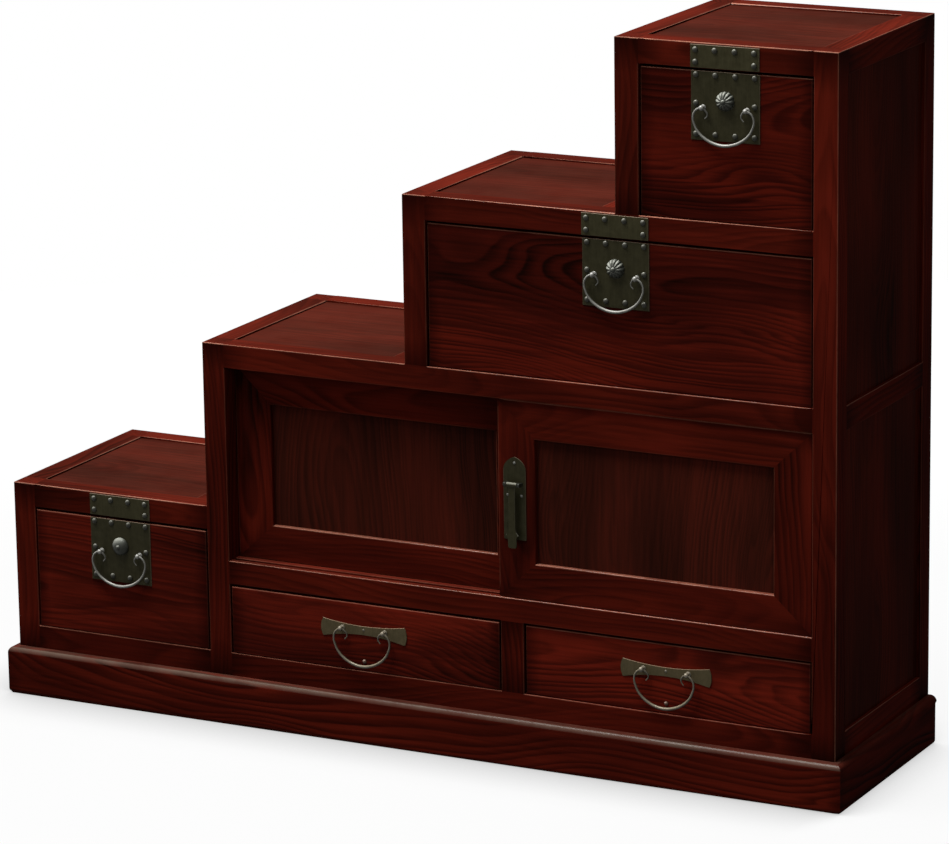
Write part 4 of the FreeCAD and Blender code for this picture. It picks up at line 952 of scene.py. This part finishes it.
# a drop handle's half line from its curled tail to its lowest point: shares of half width and of hang,
# share of the wire's thickness, and share of the tail's bend towards the plate
BAIL_SHARES = ((0.635, -0.30, 0.32, 1.0), (0.555, -0.20, 0.46, 1.0), (0.605, -0.07, 0.60, 0.6),
               (None, 0.0, 0.66, 0.0), (0.86, -0.035, 0.66, 0.0), (0.965, -0.14, 0.66, 0.0),
               (1.0, -0.29, 0.66, 0.0), (0.95, -0.47, 0.72, 0.0), (0.83, -0.66, 0.82, 0.0),
               (0.60, -0.84, 0.92, 0.0), (0.30, -0.96, 1.0, 0.0), (0.0, -1.0, 1.05, 0.0))


def bail_points(kind):
    """Points of a drop handle about its hinge line, each with the wire's radius there."""
    half = []
    for across, down, thick, bend in BAIL_SHARES:
        x = POST_SPACING[kind] / 2 if across is None else across * BAIL_HALF_WIDTH[kind]
        half.append((x, bend * TAIL_BEND, down * BAIL_HANG[kind], thick * BAIL_WIRE))
    return [(-x, y, z, wire) for x, y, z, wire in half] + half[-2::-1]


def make_bail(name, kind, hinge, body, iron):
    """A drop handle: a wire thickest at its lowest point, with curled tails inside its posts."""
    line = bpy.data.curves.new(name, "CURVE")
    line.dimensions = "3D"
    line.bevel_depth = 1.0
    line.bevel_resolution = BAIL_ROUNDNESS
    line.use_fill_caps = True
    line.resolution_u = BAIL_STEPS
    spline = line.splines.new("BEZIER")
    points = bail_points(kind)
    spline.bezier_points.add(len(points) - 1)
    for point, (x, y, z, wire) in zip(spline.bezier_points, points):
        point.co = hinge + Vector((x, y, z))
        point.radius = wire
        point.handle_left_type = point.handle_right_type = "AUTO"
    bent = placed(f"{name}_line", line)
    shape = bpy.data.meshes.new_from_object(bent.evaluated_get(bpy.context.evaluated_depsgraph_get()))
    mesh = bmesh.new()
    mesh.from_mesh(shape)
    bpy.data.objects.remove(bent)
    bpy.data.meshes.remove(shape)
    tidy(mesh)
    paint_lit_side(mesh)
    piece = finish_piece(name, mesh, iron, body)
    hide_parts(f"{name}")


PLAIN_BOSS_MM = ((0.0, 0.0), (11.2, 0.0), (11.2, 0.9), (10.7, 2.2), (9.7, 3.5), (8.3, 4.8), (6.5, 5.8),
                 (4.5, 6.4), (2.9, 6.6), (2.5, 7.0), (2.1, 7.6), (1.4, 8.0), (0.0, 8.2))
PETAL_BOSS_MM = ((0.0, 0.0), (11.2, 0.0), (11.3, 0.8), (11.1, 1.8), (10.6, 2.9), (9.8, 4.0), (8.8, 5.0),
                 (7.6, 5.8), (6.3, 6.4), (5.0, 6.8), (4.0, 6.9), (3.3, 6.7), (2.8, 7.0), (2.5, 7.6),
                 (2.0, 8.1), (1.2, 8.4), (0.0, 8.5))


def make_boss(name, centre, body, petals):
    """The rosette over a lock plate: a plain dome, or a ring of petals, with a tip in the middle."""
    mesh = bmesh.new()
    outline = [(radius * MM, out * MM) for radius, out in (PETAL_BOSS_MM if petals else PLAIN_BOSS_MM)]
    spin_about(mesh, outline, centre, PETAL_COUNT * PETAL_STEPS if petals else BOSS_STEPS)
    tidy(mesh)
    if petals:
        for vert in mesh.verts:
            arm = Vector((vert.co.x - centre.x, 0, vert.co.z - centre.z))
            share = min(1.0, (arm.length - PETAL_FOOT) / (BOSS_RADIUS - PETAL_FOOT))
            if share <= 0 or vert.co.y > centre.y - BOSS_FOOT:
                continue
            hollow = 1 - abs(math.cos(PETAL_COUNT / 2 * math.atan2(arm.z, arm.x)))
            vert.co -= arm.normalized() * PETAL_DEPTH * hollow * share
            vert.co.y += PETAL_DEPTH * hollow * min(1.0, PETAL_RISE * share)
    # the upper petals painted bright as a painted highlight, the lower ones left dark as painted shade
    paint_lit_side(mesh, BOSS_HIGHLIGHT_NARROWNESS)
    finish_piece(name, mesh, BOSS_IRON, body)


def softened_plate(mesh, name, node, material):
    """A metal piece with its long edges softened, rubbed bright and given a painted highlight, in place of
    a CAD node.
    """
    soften(mesh, [edge for edge in mesh.edges if edge.is_manifold and edge.is_convex
                  and edge.calc_length() > PLATE_EDGE and edge.calc_face_angle() > SHARP_ANGLE], PLATE_EASE)
    rub_and_highlight = mesh.faces.layers.float.new("rub_and_highlight")
    for face in mesh.faces:
        if max(abs(part) for part in face.normal) < SQUARE:
            face[rub_and_highlight] = PLATE_RUB_AND_HIGHLIGHT * rub_and_highlight_share(face.normal, PLATE_CORNER)
    piece = finish_piece(name, mesh, material, body_of(node))
    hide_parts(node)


def make_plates(name, node, material):
    """Plates with softened edges, cut free of what the CAD node holds besides them."""
    mesh, number_of = copied_solids(node)
    for solid in faces_of_solids(mesh, number_of).values():
        low, high = extent(solid)
        if high.y - low.y > 2 * PLATE_THICKNESS:
            bmesh.ops.delete(mesh, geom=solid, context="FACES")
    softened_plate(mesh, name, node, material)


def hinge_of(joint_name):
    """Where a joint's hinge lies."""
    joint = next(joint for joint in frame["joints"] if joint["name"] == joint_name)
    return Vector(joint["pos_m"])


def dress_lock_fittings(name):
    """A large drawer's plate, rosette, nails, posts and handle."""
    body = f"{name}_drawer"
    hinge = hinge_of(f"{name}_handle_swing")
    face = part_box(f"{name}_drawer_front")[0].y - PLATE_THICKNESS
    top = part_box(f"{name}_lock_plate")[1].z
    make_plates(f"{name}_lock_plate_face", f"{name}_lock_plate", PLATE_IRON)
    make_boss(f"{name}_rosette", Vector((hinge.x, face, top - ROSETTE_DROP)), body, name != "low")
    spots = nail_spots(hinge.x, face, top, LOCK_NAIL_ROWS)
    nails = make_domes(f"{name}_nails", spots, NAIL_RADIUS, NAIL_HEIGHT, body, STUD_IRON)
    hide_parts(f"{name}_nails_and_posts")
    make_posts(f"{name}_handle_posts", hinge.x, face, hinge.z, POST_SPACING["lock"], body, POST_IRON)
    make_bail(f"{name}_bail", "lock", hinge, f"{name}_handle", WIRE_IRON)


def dress_small_fittings(name):
    """A small drawer's curved plate, centre nail, rest stud, posts and handle."""
    body = f"{name}_drawer"
    hinge = hinge_of(f"{name}_handle_swing")
    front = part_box(f"{name}_drawer_front")[0]
    face = front.y - PLATE_THICKNESS
    make_plates(f"{name}_handle_plate_face", f"{name}_handle_plate", SMALL_PLATE_IRON)
    make_domes(f"{name}_centre_nail", [Vector((hinge.x, face, hinge.z))], SMALL_NAIL_RADIUS,
               SMALL_NAIL_HEIGHT, body, SMALL_POST_IRON)
    stud = make_domes(f"{name}_rest_stud", [Vector((hinge.x, front.y, front.z + STUD_LIFT))],
                      REST_STUD_RADIUS, NAIL_HEIGHT, body, REST_STUD_IRON)
    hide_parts(f"{name}_nails_and_posts")
    make_posts(f"{name}_handle_posts", hinge.x, face, hinge.z, POST_SPACING["small"], body, SMALL_POST_IRON)
    make_bail(f"{name}_bail", "small", hinge, f"{name}_handle", SMALL_WIRE_IRON)


def dress_rail_fittings():
    """The plates over the rails and their nails."""
    make_plates("rail_plate_faces", "rail_plates", RAIL_PLATE_IRON)
    spots = []
    rails = {"low": "low_step_rail", "upper": "third_step_rail", "top": "top_step_rail"}
    for name, rail in rails.items():
        middle = hinge_of(f"{name}_handle_swing").x
        low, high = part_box(rail)
        spots += nail_spots(middle, low.y - PLATE_THICKNESS, high.z - RAIL_PLATE_DROP, RAIL_NAIL_ROWS)
    nails = make_domes("rail_plate_nails", spots, NAIL_RADIUS, NAIL_HEIGHT, "root", STUD_IRON)
    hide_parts("rail_nails")


def dress_smooth(node, material):
    """A smoothly shaded copy of a metal CAD node."""
    piece = finish_piece(f"{node}_dressed", copied_solids(node)[0], material, body_of(node))
    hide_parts(node)


# the pull strap's half outline from its eye to its tip: half widths and heights about the hinge
STRAP_OUTLINE_MM = ((4.6, -1.6), (4.2, -8.0), (4.2, -54.0), (5.2, -57.5), (8.0, -61.5), (6.4, -62.6),
                    (5.6, -64.5), (5.4, -74.0), (4.6, -76.4), (3.2, -77.0))
STRAP_HALF_THICKNESS = 1.0 * MM
EYE_HALF_WIDTH = 6.7 * MM
EYE_RADII = (1.8 * MM, 2.9 * MM)
EYE_STEPS = 24


def make_strap():
    """The pull's strap: an eye around the staple's pin, a slim blade, two ears and a broad tip."""
    hinge = hinge_of("door_pull_swing")
    mesh = bmesh.new()
    half = [(across * MM, up * MM) for across, up in STRAP_OUTLINE_MM]
    outline = half + [(-across, up) for across, up in half[::-1]]
    verts = [mesh.verts.new(hinge + Vector((across, STRAP_HALF_THICKNESS, up))) for across, up in outline]
    blade = mesh.faces.new(verts)
    grown = bmesh.ops.extrude_face_region(mesh, geom=[blade])["geom"]
    bmesh.ops.translate(mesh, verts=[part for part in grown if isinstance(part, bmesh.types.BMVert)],
                        vec=(0, -2 * STRAP_HALF_THICKNESS, 0))
    inner, outer = EYE_RADII
    end = EYE_HALF_WIDTH
    ring = [(-end, inner), (-end, outer - PLATE_EASE), (PLATE_EASE - end, outer),
            (end - PLATE_EASE, outer), (end, outer - PLATE_EASE), (end, inner)]
    verts = [mesh.verts.new(hinge + Vector((across, 0, radius))) for across, radius in ring]
    edges = [mesh.edges.new(pair) for pair in zip(verts, verts[1:] + verts[:1])]
    bmesh.ops.spin(mesh, geom=verts + edges, cent=hinge, axis=(1, 0, 0), dvec=(0, 0, 0), angle=2 * math.pi,
                   steps=EYE_STEPS, use_merge=True)
    tidy(mesh)
    softened_plate(mesh, "pull_strap_blade", "pull_strap", STRAP_IRON)


def dress_pull():
    """The front door's pull."""
    softened_plate(copied_solids("pull_plate")[0], "pull_plate_face", "pull_plate", PLATE_IRON)
    dress_smooth("pull_nails", POST_IRON)
    dress_smooth("pull_staple", STUD_IRON)
    make_strap()


def make_floor():
    """A pale floor that looks white, keeps the chest's shadow and fades to white further off."""
    mesh = bmesh.new()
    bmesh.ops.create_circle(mesh, cap_ends=True, radius=2.5, segments=64)
    data = bpy.data.meshes.new("floor")
    mesh.to_mesh(data)
    mesh.free()
    floor = placed("floor", data)
    material, tree = start_tree("pale_floor")
    tree.nodes.clear()
    seen = sees_white(tree)
    lit = add(tree, "ShaderNodeBsdfDiffuse", {"Color": FLOOR_LIT})
    place = add(tree, "ShaderNodeTexCoord").outputs["Object"]
    away = vector_maths(tree, "LENGTH", place)["Value"]
    white = spread(tree, away, *FLOOR_FADE, FLOOR_WHITE, 1.0)
    open_air = add(tree, "ShaderNodeAmbientOcclusion", {"Distance": SHADOW_REACH}).outputs["AO"]
    across = add(tree, "ShaderNodeSeparateXYZ", {0: place}).outputs["X"]
    beside = spread(tree, across, *(cad_box[1][0] + limit for limit in RIGHT_BAND))
    clear = maths(tree, "MULTIPLY_ADD", beside, RIGHT_OPEN_CHANGE, SHADOW_OPEN)
    darkest = maths(tree, "MULTIPLY_ADD", beside, RIGHT_DARKEST_CHANGE, SHADOW_DARKEST)
    white = maths(tree, "MULTIPLY", white, spread(tree, open_air, SHADOW_CLOSED, clear, darkest, 1.0))
    glow = add(tree, "ShaderNodeEmission", {"Color": colour(1, 1, 1), "Strength": white})
    both = add(tree, "ShaderNodeAddShader", {0: lit.outputs[0], 1: glow.outputs[0]})
    plain = add(tree, "ShaderNodeBsdfDiffuse", {"Color": FLOOR_PLAIN})
    share = add(tree, "ShaderNodeMixShader", {0: seen, 1: plain.outputs[0], 2: both.outputs[0]})
    out = add(tree, "ShaderNodeOutputMaterial")
    tree.links.new(share.outputs[0], out.inputs["Surface"])
    data.materials.append(material)


def make_world():
    """A white background with a dim light from all round, brighter from the left."""
    world = bpy.data.worlds.new("studio")
    bpy.context.scene.world = world
    world.use_nodes = True
    tree = world.node_tree
    seen = sees_white(tree)
    view = add(tree, "ShaderNodeTexCoord").outputs["Generated"]
    across = add(tree, "ShaderNodeSeparateXYZ", {0: view}).outputs["X"]
    dim = spread(tree, across, *WORLD_BAND, WORLD_LEFT, WORLD_RIGHT)
    background = tree.nodes["Background"]
    background.inputs["Color"].default_value = colour(1, 1, 1)
    tree.links.new(maths(tree, "MAXIMUM", seen, dim), background.inputs["Strength"])


def make_lamp(name, place, target, size, power):
    """A soft square lamp that faces a target."""
    lamp = bpy.data.lights.new(name, "AREA")
    lamp.shape = "SQUARE"
    lamp.size = size
    lamp.energy = power
    holder = placed(name, lamp)
    holder.location = place
    holder.rotation_euler = (target - place).to_track_quat("-Z", "Y").to_euler()
    return holder


def make_studio():
    """Floor, background and lamps."""
    make_floor()
    make_world()
    middle = (cad_box[0] + cad_box[1]) / 2
    make_lamp("overhead_softbox", middle + OVERHEAD_OFFSET, middle, size=1.7, power=135)
    side_fill = make_lamp("side_fill", SIDE_PLACE, SIDE_TARGET, size=0.4, power=1.5)
    back_fill = make_lamp("back_fill", BACK_PLACE, middle, size=0.9, power=12)
    for fill in (side_fill, back_fill):
        fill.visible_camera = False
        fill.visible_glossy = False


def make_camera():
    """The photograph's viewpoint."""
    lens = bpy.data.cameras.new("viewpoint")
    lens.sensor_width = SENSOR_WIDTH
    lens.lens = FOCAL_PIXELS / IMAGE_WIDTH * SENSOR_WIDTH
    camera = placed("viewpoint", lens)
    turns = (Matrix.Rotation(math.radians(CAMERA_TURN), 3, "Z")
             @ Matrix.Rotation(math.radians(CAMERA_TILT), 3, "X")
             @ Matrix.Rotation(math.radians(CAMERA_ROLL), 3, "Z"))
    camera.location = CAMERA_PLACE
    camera.rotation_euler = turns.to_euler()
    bpy.context.scene.camera = camera


dress_case()
dress_drawers()
dress_doors()
for drawer in LARGE_DRAWERS:
    dress_lock_fittings(drawer)
for drawer in SMALL_DRAWERS:
    dress_small_fittings(drawer)
dress_rail_fittings()
dress_pull()
make_studio()
make_camera()
bpy.context.scene.view_settings.view_transform = "Standard"
